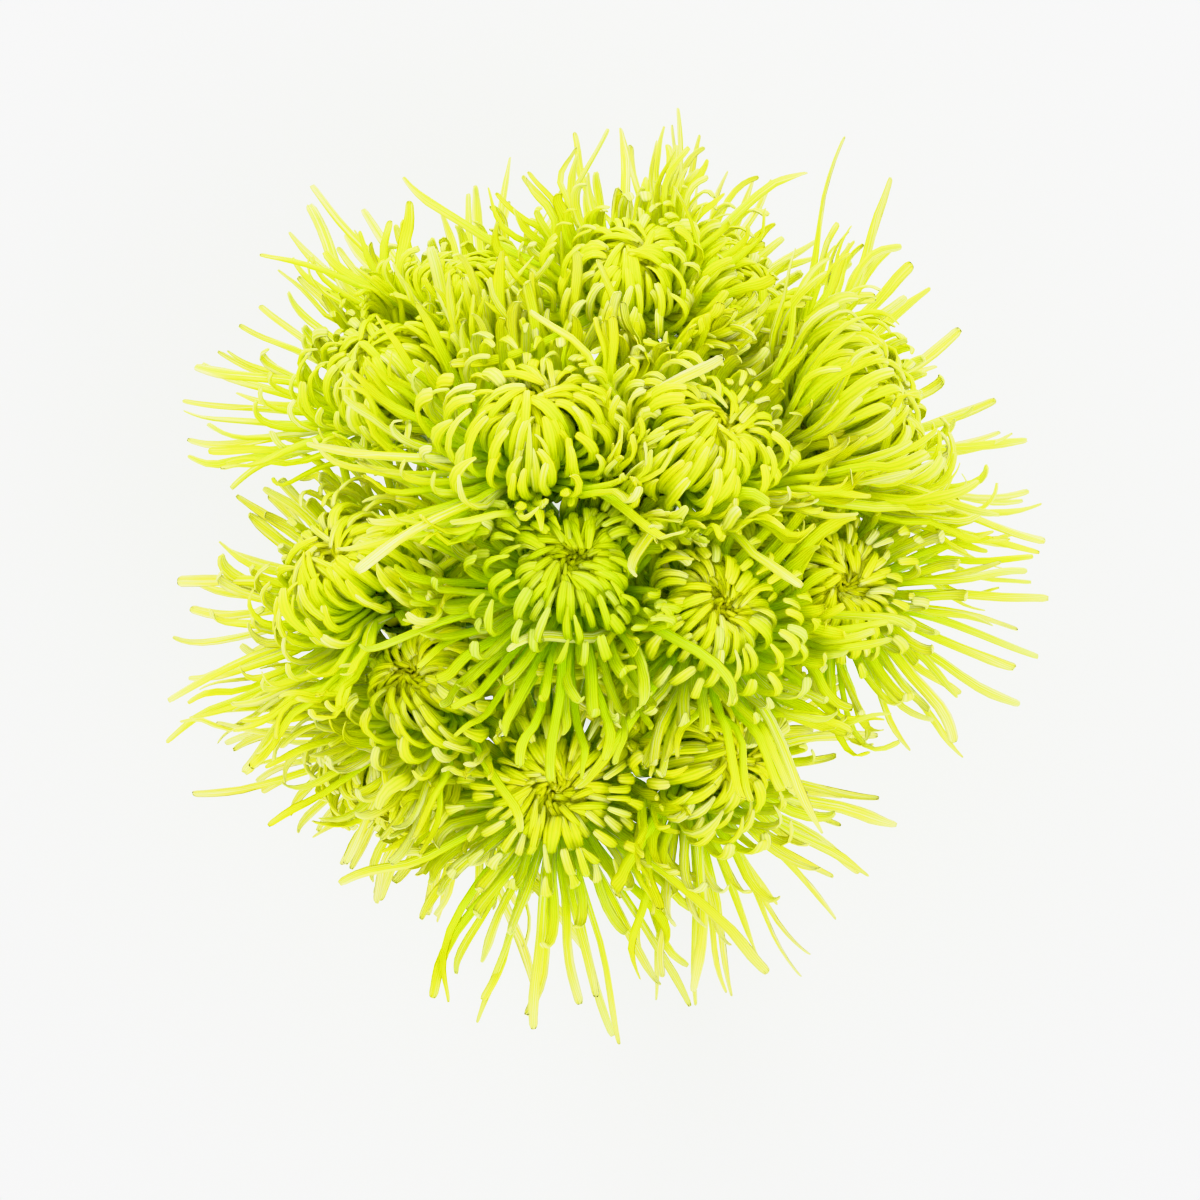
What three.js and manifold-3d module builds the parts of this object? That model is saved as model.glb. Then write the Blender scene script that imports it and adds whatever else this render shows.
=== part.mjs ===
// A hand-tied bunch of sixteen green spider chrysanthemums that stands on its cut stem ends.
// Millimetres, +Z up. The stem ends stand on z = 0 and the stems cross inside the tie in a spiral.
import * as THREE from 'three';
import { mergeVertices } from 'three/addons/utils/BufferGeometryUtils.js';
import Module from 'manifold-3d';

const wasm = await Module();
wasm.setup();

// ---------------------------------------------------------------- driving dimensions

const TIE_Z = 150;              // height of the narrowest point of the bunch
const STEM_RADIUS = 2.6;        // at the tie
const STEM_TOP_RADIUS = 2.2;
const STEM_FOOT_RADIUS = 3.0;
const STEM_SIDES = 6;
const STRAIGHT_RISE = 34;       // straight run of a stem above the tie
const STEM_CURVE_RINGS = 4;
const TOUCH_GAP = 0.3;          // clearance between pieces that touch

// Rings of stems at the tie: one straight stem, five round it, ten round those.
const STEM_RINGS = {
  centre: { count: 1, radius: 0, slant: 0, firstAngle: 0, headAdvance: 0 },
  inner: { count: 5, radius: 5.45, slant: 8.5, firstAngle: 9.5, headAdvance: 60 },
  outer: { count: 10, radius: 10.9, slant: 16, firstAngle: -21.5, headAdvance: 65 },
};

// Every bloom: the middle of its receptacle, where it leans to, how far it leans from upright,
// its size against a full bloom, how far its florets close round its axis, and its stem.
const BLOOMS = [
  { base: [-8, 4, 292], toward: 90, lean: 18, size: 0.95, cup: 0, ring: 'centre', slot: 0 },
  { base: [-18, 36, 286], toward: 90, lean: 40, size: 1.08, cup: 12, ring: 'inner', slot: 2 },
  { base: [8, 85, 250], toward: 84, lean: 38, size: 0.9, cup: 0, ring: 'outer', slot: 3 },
  { base: [23, 36, 280], toward: 50, lean: 38, size: 1.0, cup: 5, ring: 'inner', slot: 1 },
  { base: [58, 45, 246], toward: 30, lean: 72, size: 1.2, cup: 32, ring: 'outer', slot: 1 },
  { base: [67, 2, 256], toward: 45, lean: 10, size: 0.86, cup: 4, ring: 'outer', slot: 0 },
  { base: [29, -8, 282], toward: 52, lean: 22, size: 0.96, cup: 0, ring: 'inner', slot: 4 },
  { base: [41, 11, 266], toward: 20, lean: 10, size: 0.6, cup: 0, ring: 'inner', slot: 0 },
  { base: [24, -49, 252], toward: 15, lean: 36, size: 0.98, cup: 0, ring: 'outer', slot: 9 },
  { base: [-13, -56, 258], toward: 90, lean: 4, size: 1.0, cup: 0, ring: 'outer', slot: 8 },
  { base: [-42, -30, 262], toward: 145, lean: 40, size: 0.9, cup: 5, ring: 'inner', slot: 3 },
  { base: [-60, -1, 256], toward: 144, lean: 46, size: 1.1, cup: 10, ring: 'outer', slot: 6 },
  { base: [-56, 57, 240], toward: 121, lean: 52, size: 0.98, cup: 20, ring: 'outer', slot: 5 },
  { base: [-38, 74, 232], toward: 103, lean: 64, size: 0.94, cup: 32, ring: 'outer', slot: 4 },
  { base: [27, 78, 232], toward: 38, lean: 64, size: 0.96, cup: 30, ring: 'outer', slot: 2 },
  { base: [-50, -41, 226], toward: 240, lean: 66, size: 1.05, cup: 25, ring: 'outer', slot: 7 },
];

// Rows of florets from the middle out, for a full bloom. A floret runs along a cubic curve through
// its `path`, given as [distance from the axis, height over the receptacle]. `spread` is how much
// the lengths differ, `hook` turns the tip back toward the axis, in degrees, `sag` is the drop
// under its own weight, and `over` is how far it may reach over a neighbour. A row holds `count`
// florets, and `built` of them are made here.
const FLORET_ROWS = [
  {
    path: [[4, 13], [19, 8], [20, 32], [8, 29]],
    count: 28, built: 8, spread: 0.14, hook: 25, sag: 0, over: 1,
  },
  {
    path: [[4, 10], [23, 6], [33, 15], [28, 28]],
    count: 24, built: 5, spread: 0.16, hook: 50, sag: 1, over: 3,
  },
  {
    path: [[4, 7.5], [24, 6], [40, 12], [43, 23]],
    count: 26, built: 5, spread: 0.16, hook: 45, sag: 2, over: 6,
  },
  {
    path: [[4, 5], [26, 4], [46, 7], [60, 12]],
    count: 26, built: 6, spread: 0.16, hook: 30, sag: 2, over: 9,
  },
  {
    path: [[4, 2.5], [28, 2], [50, 1], [70, -1]],
    count: 22, built: 7, spread: 0.18, hook: 15, sag: 3, over: 10,
  },
  {
    path: [[4, 0.5], [26, -2], [46, -8], [64, -16]],
    count: 12, built: 2, spread: 0.2, hook: 10, sag: 3, over: 8,
  },
];
const FIRST_ROW_NUMBER = 4;     // the three rows inside these are too fine to build here
const FLORET_SPACING = 2.7;     // between the middle lines of two florets of a bloom
const NEIGHBOUR_SPACING = 3.6;  // between the middle lines of florets of two blooms
const ROOT_ZONE = 7;            // length of a floret inside the core, where spacing is not asked
const NEARBY_PLACES = 3;        // places tried for each floret that is built, longest first
const PATH_STEPS = 32;
const HOOK_START = 0.8;
const CUP_END = 0.4;
const SPIN_PER_BLOOM = 0.7;     // turns the pattern of one bloom against the next, in radians
const SWERVE = 0.2;
const LIFT = 0.12;

const FLORET_WIDTH = 3.0;
const FLORET_DEPTH = 1.7;
const ROOT_SCALE = 0.6;
const TIP_SCALE = 0.85;
const TIP_DEPTH_SCALE = 0.6;

// Each bloom has its own share of space. Its florets bend as they come to the end of it, and go
// round the round heads and the stems of the others.
const HEAD_CENTRE_HEIGHT = 24;  // middle of the head over the receptacle, for a full bloom
const SIZE_SHARE = 16;          // how much more room a larger bloom takes
const SHARE_WAVE = 6;           // the border between two blooms is wavy by this much
const WAVE_RATE = [0.25, 0.23, 0.27];
const WAVE_PHASE = [1, 2, 3];
const BORDER_CLEARANCE = 2.1;
const BORDER_SOFTNESS = 11;
const HEAD_RADIUS = 18;
const HEAD_HEIGHT = 17;
const HEAD_CLEARANCE = 1.6;
const HEAD_SOFTNESS = 9;
const STEM_CLEARANCE = 2.2;
const STEM_SOFTNESS = 5;
const LEAST_CLEARANCE = 1.95;   // from a floret's middle line to a stem, calyx or core
const PRESSED_SHORTENING = 0.35;
const LIFT_WHEN_PRESSED = 0.5;
const SHORTEST_FLORET = 14;

// Core of a head: radius and height over the receptacle.
const CORE_SINK = 2;
const CORE_PROFILE = [[6, 0], [9.5, 3], [10.5, 11], [7.5, 20], [0, 25]];
const CORE_SEGMENTS = 7;
const CORE_RADIUS = 10.5;
const CORE_HEIGHT = 18;

// Calyx under the core: distance below the core's flat underside and radius, from the stem up.
const CALYX_DEPTH = 8;
const CALYX_RINGS = [[5.5, 5.2], [0, 7.2]];
const CALYX_RADIUS = 7.5;

// One lobed leaf on some of the outer stems: the bloom it grows under, its height, and its turn
// from straight outward. The outline gives half widths from the stalk to the tip.
const LEAVES = [
  { under: 2, height: 186, turn: 14 },
  { under: 5, height: 182, turn: -6 },
  { under: 8, height: 188, turn: 10 },
  { under: 9, height: 180, turn: -14 },
  { under: 11, height: 190, turn: 8 },
  { under: 12, height: 180, turn: 6 },
];
const LEAF_LENGTH = 46;
const LEAF_THICKNESS = 0.9;
const LEAF_RISE = 0.5;
const LEAF_ARCH = 0.42;
const LEAF_OUTLINE = [[0, 1.1], [0.2, 1.6], [0.38, 12], [0.48, 6], [0.68, 12.5], [0.77, 5.5], [1, 0.6]];
const LEAF_FOLD = 0.22;         // how far the halves of a leaf hang from its midrib

const TWINE = 4.0;              // thickness of the twine
const TWINE_TURNS = 3;
const TIE_SEGMENTS = 14;
const KNOT_SIZE = [4.2, 3.2, 3.6];
const TAIL_RADIUS = 1.4;

// ---------------------------------------------------------------- small helpers

const RAD = Math.PI / 180;
const UP = new THREE.Vector3(0, 0, 1);

const vec = (x, y, z) => new THREE.Vector3(x, y, z);
const clamp01 = (value) => Math.min(1, Math.max(0, value));

// Repeatable random numbers from a seed.
function randomFrom(seed) {
  let state = seed >>> 0;
  return () => {
    state = (state + 0x6d2b79f5) >>> 0;
    let t = state;
    t = Math.imul(t ^ (t >>> 15), t | 1);
    t ^= t + Math.imul(t ^ (t >>> 7), t | 61);
    return ((t ^ (t >>> 14)) >>> 0) / 4294967296;
  };
}

// Closed mesh data from rings of points, with a flat cap on both ends.
function skinRings(rings) {
  const sides = rings[0].length;
  const positions = rings.flat().flatMap((point) => [point.x, point.y, point.z]);
  const triangles = [];
  for (let r = 0; r + 1 < rings.length; r += 1) {
    for (let s = 0; s < sides; s += 1) {
      const a = r * sides + s;
      const b = r * sides + ((s + 1) % sides);
      triangles.push(a, b, b + sides, a, b + sides, a + sides);
    }
  }
  const last = (rings.length - 1) * sides;
  for (let s = 1; s + 1 < sides; s += 1) {
    triangles.push(0, s + 1, s);
    triangles.push(last, last + s, last + s + 1);
  }
  return { positions, triangles };
}

// The same mesh data as a manifold-3d solid, turned so that its faces point out.
function solidFrom({ positions, triangles }) {
  let volume = 0;
  const corner = (index) => vec(...positions.slice(3 * index, 3 * index + 3));
  for (let t = 0; t < triangles.length; t += 3) {
    const [a, b, c] = [corner(triangles[t]), corner(triangles[t + 1]), corner(triangles[t + 2])];
    volume += a.dot(b.cross(c));
  }
  const outward = volume > 0 ? triangles : triangles.slice().reverse();
  return new wasm.Manifold(new wasm.Mesh({
    numProp: 3,
    vertProperties: new Float32Array(positions),
    triVerts: new Uint32Array(outward),
  }));
}

// A three.js geometry as a manifold-3d solid.
function solidFromGeometry(geometry) {
  const plain = geometry.clone();
  plain.deleteAttribute('normal');
  plain.deleteAttribute('uv');
  const merged = mergeVertices(plain, 1e-4);
  return solidFrom({
    positions: Array.from(merged.attributes.position.array),
    triangles: Array.from(merged.index.array),
  });
}

function geometryFromSolid(solid) {
  const mesh = solid.getMesh();
  const geometry = new THREE.BufferGeometry();
  geometry.setAttribute('position', new THREE.BufferAttribute(mesh.vertProperties, 3));
  geometry.setIndex(new THREE.BufferAttribute(mesh.triVerts, 1));
  geometry.computeVertexNormals();
  return geometry;
}

// ---------------------------------------------------------------- where blooms and stems stand

// Directions of a bloom: its axis, and the two directions across it.
function frameOf(bloom) {
  const toward = bloom.toward * RAD;
  const lean = bloom.lean * RAD;
  const axis = vec(Math.sin(lean) * Math.cos(toward), Math.sin(lean) * Math.sin(toward), Math.cos(lean));
  const side = vec(-Math.sin(toward), Math.cos(toward), 0);
  const front = side.clone().cross(axis);
  return { axis, side, front };
}

const blooms = BLOOMS.map((bloom, index) => {
  const frame = frameOf(bloom);
  const base = vec(...bloom.base);
  const centre = base.clone().addScaledVector(frame.axis, HEAD_CENTRE_HEIGHT * bloom.size);
  const upward = frame.axis.clone().add(UP).normalize();
  const share = SIZE_SHARE * (bloom.size - 1);
  return { ...bloom, ...frame, index, base, centre, upward, share, cup: bloom.cup * RAD };
});

// Point on a bloom's axis below the flat underside of its core.
function underCore(bloom, depth) {
  return bloom.base.clone().addScaledVector(bloom.axis, -(CORE_SINK + TOUCH_GAP + depth * bloom.size));
}

// Middle line of a stem: straight through the tie, then curving up into its bloom.
function stemLine(bloom) {
  const ring = STEM_RINGS[bloom.ring];
  const headAngle = ring.firstAngle + (360 / ring.count) * bloom.slot;
  const waist = (headAngle - ring.headAdvance) * RAD;
  const slant = ring.slant * RAD;
  const outward = vec(Math.cos(waist), Math.sin(waist), 0);
  const sideways = vec(-Math.sin(waist), Math.cos(waist), 0);
  const direction = sideways.multiplyScalar(Math.sin(slant)).setZ(Math.cos(slant));
  const middle = outward.clone().multiplyScalar(ring.radius).setZ(TIE_Z);
  const at = (rise) => middle.clone().addScaledVector(direction, rise / direction.z);

  const straightEnd = at(STRAIGHT_RISE);
  const calyxStart = underCore(bloom, CALYX_DEPTH);
  const reach = straightEnd.distanceTo(calyxStart);
  const curve = new THREE.CubicBezierCurve3(
    straightEnd,
    straightEnd.clone().addScaledVector(direction, reach * 0.4),
    calyxStart.clone().addScaledVector(bloom.axis, -reach * 0.35),
    calyxStart,
  );
  const points = [at(-TIE_Z), at(0)];
  const tangents = [direction, direction];
  for (let k = 0; k < STEM_CURVE_RINGS; k += 1) {
    const t = k / (STEM_CURVE_RINGS - 1);
    points.push(curve.getPoint(t));
    tangents.push(curve.getTangent(t));
  }
  return { points, tangents, direction, outward };
}

const stems = blooms.map(stemLine);

// What florets must go round: every stem above the tie, and every calyx.
const obstacles = stems.flatMap((stem, index) => {
  const list = [];
  for (let k = 1; k + 1 < stem.points.length; k += 1) {
    list.push({ owner: index, a: stem.points[k], b: stem.points[k + 1], radius: STEM_RADIUS });
  }
  const { base, axis, size } = blooms[index];
  const foot = base.clone().addScaledVector(axis, -7 * size);
  list.push({ owner: index, a: foot, b: base.clone(), radius: CALYX_RADIUS * size });
  return list;
});

// Cores of the heads, which no neighbour's floret may touch.
const cores = blooms.map(({ base, axis, size }, index) => ({
  owner: index,
  a: base.clone(),
  b: base.clone().addScaledVector(axis, CORE_HEIGHT * size),
  radius: CORE_RADIUS * size,
}));

// ---------------------------------------------------------------- room between blooms

// How far a point is inside the space of bloom i on the side of bloom j, and the way in.
function roomBeside(i, j, point) {
  const fromOwn = point.clone().sub(blooms[i].centre);
  const fromOther = point.clone().sub(blooms[j].centre);
  const ownDistance = fromOwn.length();
  const otherDistance = fromOther.length();
  const sign = i < j ? 1 : -1;
  const pair = 1.7 * Math.min(i, j) + 2.3 * Math.max(i, j);
  let room = otherDistance - blooms[j].share - ownDistance + blooms[i].share;
  const inward = fromOther.divideScalar(otherDistance).addScaledVector(fromOwn, -1 / ownDistance);
  const coordinates = [point.x, point.y, point.z];
  const slope = [0, 0, 0];
  for (let c = 0; c < 3; c += 1) {
    const phase = WAVE_RATE[c] * coordinates[c] + WAVE_PHASE[c] * pair;
    room += sign * (SHARE_WAVE / 2) * Math.sin(phase);
    slope[c] = sign * (SHARE_WAVE / 2) * WAVE_RATE[c] * Math.cos(phase);
  }
  inward.add(vec(...slope));
  const steepness = Math.max(0.3, inward.length());
  return { distance: room / steepness, inward: inward.divideScalar(steepness) };
}

// Distance from a point to a stretch of stem, calyx or core, and the way away from it.
function roomFromStretch(stretch, point) {
  const along = stretch.b.clone().sub(stretch.a);
  const t = clamp01(point.clone().sub(stretch.a).dot(along) / along.lengthSq());
  const away = point.clone().sub(stretch.a).addScaledVector(along, -t);
  const length = Math.max(1e-6, away.length());
  return { distance: length - stretch.radius, inward: away.divideScalar(length) };
}

// Distance from a point to the round head of a bloom, and the way out.
function roomFromHead(bloom, point) {
  const away = point.clone().sub(bloom.base).addScaledVector(bloom.axis, -HEAD_HEIGHT * bloom.size);
  const length = Math.max(1e-6, away.length());
  return { distance: length - HEAD_RADIUS * bloom.size, inward: away.divideScalar(length) };
}

// Everything near a point that bends a floret of bloom i: borders, heads, then stems.
function hindrances(i, point, over) {
  const others = blooms.filter(({ index }) => index !== i);
  const border = { clearance: BORDER_CLEARANCE - over, softness: BORDER_SOFTNESS };
  const head = { clearance: HEAD_CLEARANCE, softness: HEAD_SOFTNESS };
  const stem = { clearance: STEM_CLEARANCE, softness: STEM_SOFTNESS };
  return [
    ...others.map(({ index }) => ({ ...roomBeside(i, index, point), ...border })),
    ...others.map((other) => ({ ...roomFromHead(other, point), ...head })),
    ...obstacles.filter(({ owner }) => owner !== i).map((stretch) => ({
      ...roomFromStretch(stretch, point), ...stem,
    })),
  ];
}

// ---------------------------------------------------------------- florets

// Path of one floret, as points and the direction across its flat side.
function floretPath(bloom, rowNumber, row, k) {
  const random = randomFrom(bloom.index * 4096 + rowNumber * 128 + k);
  const jitter = () => random() * 2 - 1;
  const turn = ((k + 0.5 * (rowNumber % 2) + 0.25 * jitter()) / row.count) * 2 * Math.PI
    + bloom.index * SPIN_PER_BLOOM;
  const scale = bloom.size * (1 + row.spread * jitter());
  const hook = row.hook * (1 + 0.6 * jitter()) * RAD;
  const swerve = SWERVE * jitter();
  const lift = LIFT * jitter();
  const cup = bloom.cup * clamp01((rowNumber - 4) / 2);

  const out = bloom.front.clone()
    .multiplyScalar(Math.cos(turn))
    .addScaledVector(bloom.side, Math.sin(turn));
  const across = bloom.axis.clone().cross(out);
  const control = row.path;
  const start = bloom.base.clone()
    .addScaledVector(out, control[0][0] * bloom.size)
    .addScaledVector(bloom.axis, control[0][1] * bloom.size);
  const points = [start];
  let pressedWhole = 0;
  for (let m = 0; m < PATH_STEPS; m += 1) {
    const t = (m + 0.5) / PATH_STEPS;
    const u = 1 - t;
    const weights = [3 * u * u, 6 * u * t, 3 * t * t];
    let stepOut = 0;
    let stepUp = 0;
    for (let c = 0; c < 3; c += 1) {
      stepOut += weights[c] * (control[c + 1][0] - control[c][0]);
      stepUp += weights[c] * (control[c + 1][1] - control[c][1]);
    }
    const bend = hook * clamp01((t - HOOK_START) / (1 - HOOK_START)) + lift * t
      + cup * Math.min(1, t / CUP_END);
    const turnedOut = stepOut * Math.cos(bend) - stepUp * Math.sin(bend);
    const turnedUp = stepOut * Math.sin(bend) + stepUp * Math.cos(bend);
    const direction = out.clone().multiplyScalar(turnedOut)
      .addScaledVector(bloom.axis, turnedUp)
      .addScaledVector(across, swerve * t * turnedOut);
    direction.z -= 2 * row.sag * t;
    const natural = direction.length();
    direction.divideScalar(natural);

    const here = points[points.length - 1];
    const ahead = here.clone().addScaledVector(direction, 2);
    let pressed = 0;
    for (const { distance, inward, clearance, softness } of hindrances(bloom.index, ahead, row.over)) {
      const near = clamp01((clearance + softness - distance) / softness);
      if (near > 0) {
        const toward = Math.max(0, -direction.dot(inward));
        const push = 0.25 * Math.max(0, clearance + 0.6 - distance);
        direction.addScaledVector(inward, toward * near + push);
        direction.addScaledVector(bloom.upward, LIFT_WHEN_PRESSED * toward * near);
        direction.normalize();
        pressed = Math.max(pressed, near * near * toward);
      }
    }
    pressedWhole = Math.max(pressedWhole, pressed);
    const hold = Math.max(pressed, pressedWhole * 0.7);
    const stride = (natural / PATH_STEPS) * scale * (1 - PRESSED_SHORTENING * hold);
    points.push(here.clone().addScaledVector(direction, stride));
  }
  return { points, across, scale };
}

// True while a straight stretch of a floret keeps clear of other blooms' stems, calyxes and cores.
function stretchIsClear(bloomIndex, from, to) {
  const samples = 6;
  const others = [...obstacles, ...cores].filter(({ owner }) => owner !== bloomIndex);
  for (let k = 0; k <= samples; k += 1) {
    const point = from.clone().lerp(to, k / samples);
    if (others.some((other) => roomFromStretch(other, point).distance < LEAST_CLEARANCE)) {
      return false;
    }
  }
  return true;
}

// Points of a floret's path that its corners stand at, or null where there is no room for it.
function floretCorners(bloom, path, ringCount) {
  for (let end = PATH_STEPS; end >= PATH_STEPS / 2; end -= 3) {
    const picks = Array.from({ length: ringCount }, (unused, k) => Math.round((end * k) / (ringCount - 1)));
    const points = picks.map((index) => path.points[index]);
    const clear = points.slice(1).every((point, k) => stretchIsClear(bloom.index, points[k], point));
    if (clear && lengthOf(points) > SHORTEST_FLORET * bloom.size) {
      return points;
    }
  }
  return null;
}

function lengthOf(points) {
  return points.slice(1).reduce((sum, point, k) => sum + point.distanceTo(points[k]), 0);
}

// Points every few millimetres along a floret, without the part inside the core.
function alongFloret(points) {
  const samples = [];
  let walked = 0;
  points.slice(1).forEach((point, k) => {
    const length = point.distanceTo(points[k]);
    const pieces = Math.ceil(length / 2);
    for (let piece = 0; piece < pieces; piece += 1) {
      if (walked + (length * piece) / pieces > ROOT_ZONE) {
        samples.push(points[k].clone().lerp(point, piece / pieces));
      }
    }
    walked += length;
  });
  samples.push(points[points.length - 1]);
  return samples;
}

// Three-sided solid of one floret.
function floretSolid(points, acrossRoot) {
  return solidFrom(skinRings(points.map((point, k) => {
    const before = points[Math.max(0, k - 1)];
    const after = points[Math.min(points.length - 1, k + 1)];
    const tangent = after.clone().sub(before).normalize();
    const across = acrossRoot.clone().addScaledVector(tangent, -acrossRoot.dot(tangent)).normalize();
    const outside = tangent.clone().cross(across);
    const isRoot = k === 0;
    const isTip = k === points.length - 1;
    const width = (FLORET_WIDTH / 2) * (isRoot ? ROOT_SCALE : isTip ? TIP_SCALE : 1);
    const depth = (FLORET_DEPTH / 2) * (isRoot ? ROOT_SCALE : isTip ? TIP_DEPTH_SCALE : 1);
    return [
      point.clone().addScaledVector(across, width).addScaledVector(outside, depth * 0.7),
      point.clone().addScaledVector(across, -width).addScaledVector(outside, depth * 0.7),
      point.clone().addScaledVector(outside, -depth * 1.3),
    ];
  })));
}

// Small body in the middle of a head, which its florets stand out of.
function coreSolid(bloom) {
  const underside = [[0, -CORE_SINK], [CORE_PROFILE[0][0] * bloom.size, -CORE_SINK]];
  const wall = CORE_PROFILE.slice(1).map(([radius, height]) => [radius * bloom.size, height * bloom.size]);
  const profile = [...underside, ...wall].map(([radius, height]) => new THREE.Vector2(radius, height));
  const core = new THREE.LatheGeometry(profile, CORE_SEGMENTS);
  core.applyMatrix4(new THREE.Matrix4().makeRotationX(Math.PI / 2));
  const turn = new THREE.Quaternion().setFromUnitVectors(UP, bloom.axis);
  core.applyMatrix4(new THREE.Matrix4().compose(bloom.base, turn, vec(1, 1, 1)));
  return solidFromGeometry(core);
}

// Florets that are built, row by row round all the blooms, each clear of those already placed.
function placeFlorets() {
  const placed = blooms.map(() => []);
  const taken = [];
  const isFree = (owner, samples) => samples.every((sample) => taken.every((other) => (
    sample.distanceTo(other.point) > (other.owner === owner ? FLORET_SPACING : NEIGHBOUR_SPACING))));
  FLORET_ROWS.forEach((row, rowIndex) => {
    for (const bloom of blooms) {
      const paths = Array.from({ length: row.count }, (unused, k) => (
        floretPath(bloom, FIRST_ROW_NUMBER + rowIndex, row, k)));
      for (let place = 0; place < row.built; place += 1) {
        const first = Math.round((place * row.count) / row.built);
        const nearby = Array.from({ length: NEARBY_PLACES }, (unused, k) => (first + k) % row.count)
          .sort((one, other) => paths[other].scale - paths[one].scale);
        for (const k of nearby) {
          const points = floretCorners(bloom, paths[k], rowIndex === 0 ? 4 : 3);
          const samples = points ? alongFloret(points) : [];
          if (points && isFree(bloom.index, samples)) {
            placed[bloom.index].push({ points, across: paths[k].across });
            taken.push(...samples.map((point) => ({ owner: bloom.index, point })));
            break;
          }
        }
      }
    }
  });
  return placed;
}

function bloomSolid(bloom, florets) {
  let solid = coreSolid(bloom);
  for (const { points, across } of florets) {
    solid = solid.add(floretSolid(points, across));
  }
  return solid;
}

// ---------------------------------------------------------------- stems

function stemSolid(bloom, stem) {
  const radii = [STEM_FOOT_RADIUS, STEM_RADIUS];
  for (let k = 0; k < STEM_CURVE_RINGS; k += 1) {
    radii.push(STEM_RADIUS + ((STEM_TOP_RADIUS - STEM_RADIUS) * k) / (STEM_CURVE_RINGS - 1));
  }
  const points = stem.points.slice();
  const tangents = stem.tangents.slice();
  for (const [depth, radius] of CALYX_RINGS) {
    points.push(underCore(bloom, depth));
    tangents.push(bloom.axis);
    radii.push(radius * bloom.size);
  }
  const rings = points.map((point, k) => {
    const tangent = tangents[k];
    const first = stem.outward.clone().addScaledVector(tangent, -stem.outward.dot(tangent)).normalize();
    const second = tangent.clone().cross(first);
    return Array.from({ length: STEM_SIDES }, (unused, s) => {
      const angle = (s / STEM_SIDES) * 2 * Math.PI;
      const corner = point.clone()
        .addScaledVector(first, radii[k] * Math.cos(angle))
        .addScaledVector(second, radii[k] * Math.sin(angle));
      if (k === 0) {
        corner.addScaledVector(stem.direction, -corner.z / stem.direction.z);
      }
      return corner;
    });
  });
  let solid = solidFrom(skinRings(rings));
  for (const leaf of LEAVES.filter(({ under }) => under === bloom.index)) {
    solid = solid.add(leafSolid(leaf));
  }
  return solid;
}

// Arched leaf with its stalk sunk in the stem.
function leafSolid(leaf) {
  const stem = stems[leaf.under];
  const upper = stem.points.findIndex((point) => point.z > leaf.height);
  const [a, b] = [stem.points[upper - 1], stem.points[upper]];
  const start = a.clone().lerp(b, (leaf.height - a.z) / (b.z - a.z));
  const angle = Math.atan2(blooms[leaf.under].base.y, blooms[leaf.under].base.x) + leaf.turn * RAD;
  const outward = vec(Math.cos(angle), Math.sin(angle), 0);
  const across = vec(-Math.sin(angle), Math.cos(angle), 0);
  return solidFrom(skinRings(LEAF_OUTLINE.map(([t, halfWidth]) => {
    const middle = start.clone()
      .addScaledVector(outward, LEAF_LENGTH * t)
      .addScaledVector(UP, LEAF_LENGTH * (LEAF_RISE * t - LEAF_ARCH * t * t));
    const slope = LEAF_RISE - 2 * LEAF_ARCH * t;
    const normal = UP.clone().addScaledVector(outward, -slope).normalize();
    const edge = (sign) => middle.clone()
      .addScaledVector(across, sign * halfWidth)
      .addScaledVector(normal, -LEAF_FOLD * halfWidth);
    const under = (point) => point.clone().addScaledVector(normal, -LEAF_THICKNESS);
    return [edge(1), middle, edge(-1), under(edge(-1)), under(middle), under(edge(1))];
  })));
}

// ---------------------------------------------------------------- tie

// Closed tube along a curve.
function tube(curve, radius, sides, steps) {
  const section = new THREE.Shape();
  for (let s = 0; s < sides; s += 1) {
    const angle = (s / sides) * 2 * Math.PI;
    const place = [radius * Math.cos(angle), radius * Math.sin(angle)];
    if (s === 0) {
      section.moveTo(...place);
    } else {
      section.lineTo(...place);
    }
  }
  section.closePath();
  return new THREE.ExtrudeGeometry(section, { steps, extrudePath: curve, bevelEnabled: false });
}

function tieSolid() {
  const halfHeight = (TWINE * TWINE_TURNS) / 2;
  const slant = Math.tan(STEM_RINGS.outer.slant * RAD);
  const stemReach = Math.hypot(STEM_RINGS.outer.radius, halfHeight * slant) + STEM_RADIUS;
  const inside = (stemReach + TOUCH_GAP) / Math.cos(Math.PI / TIE_SEGMENTS);
  const profile = [new THREE.Vector2(inside, -halfHeight)];
  for (let turn = 0; turn < TWINE_TURNS; turn += 1) {
    const bottom = -halfHeight + turn * TWINE;
    profile.push(new THREE.Vector2(inside + TWINE * 0.6, bottom));
    profile.push(new THREE.Vector2(inside + TWINE, bottom + TWINE / 2));
  }
  profile.push(new THREE.Vector2(inside + TWINE * 0.6, halfHeight));
  profile.push(new THREE.Vector2(inside, halfHeight));
  profile.push(profile[0].clone());
  const band = new THREE.LatheGeometry(profile, TIE_SEGMENTS);
  band.applyMatrix4(new THREE.Matrix4().makeRotationX(Math.PI / 2));
  band.translate(0, 0, TIE_Z);

  const knotY = -(inside + TWINE * 0.9);
  const knot = new THREE.IcosahedronGeometry(1, 0).scale(...KNOT_SIZE).translate(0, knotY, TIE_Z);
  let solid = solidFromGeometry(band).add(solidFromGeometry(knot));
  for (const side of [-1, 1]) {
    const tail = new THREE.CatmullRomCurve3([
      vec(side * 1.0, knotY, TIE_Z - 1),
      vec(side * 6.0, knotY - 5, TIE_Z - 6),
      vec(side * 11.0, knotY - 7, TIE_Z - 22),
      vec(side * 12.0, knotY - 9, TIE_Z - 40),
    ]);
    solid = solid.add(solidFromGeometry(tube(tail, TAIL_RADIUS, 4, 3)));
  }
  return solid;
}

// ---------------------------------------------------------------- the bunch

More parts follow.
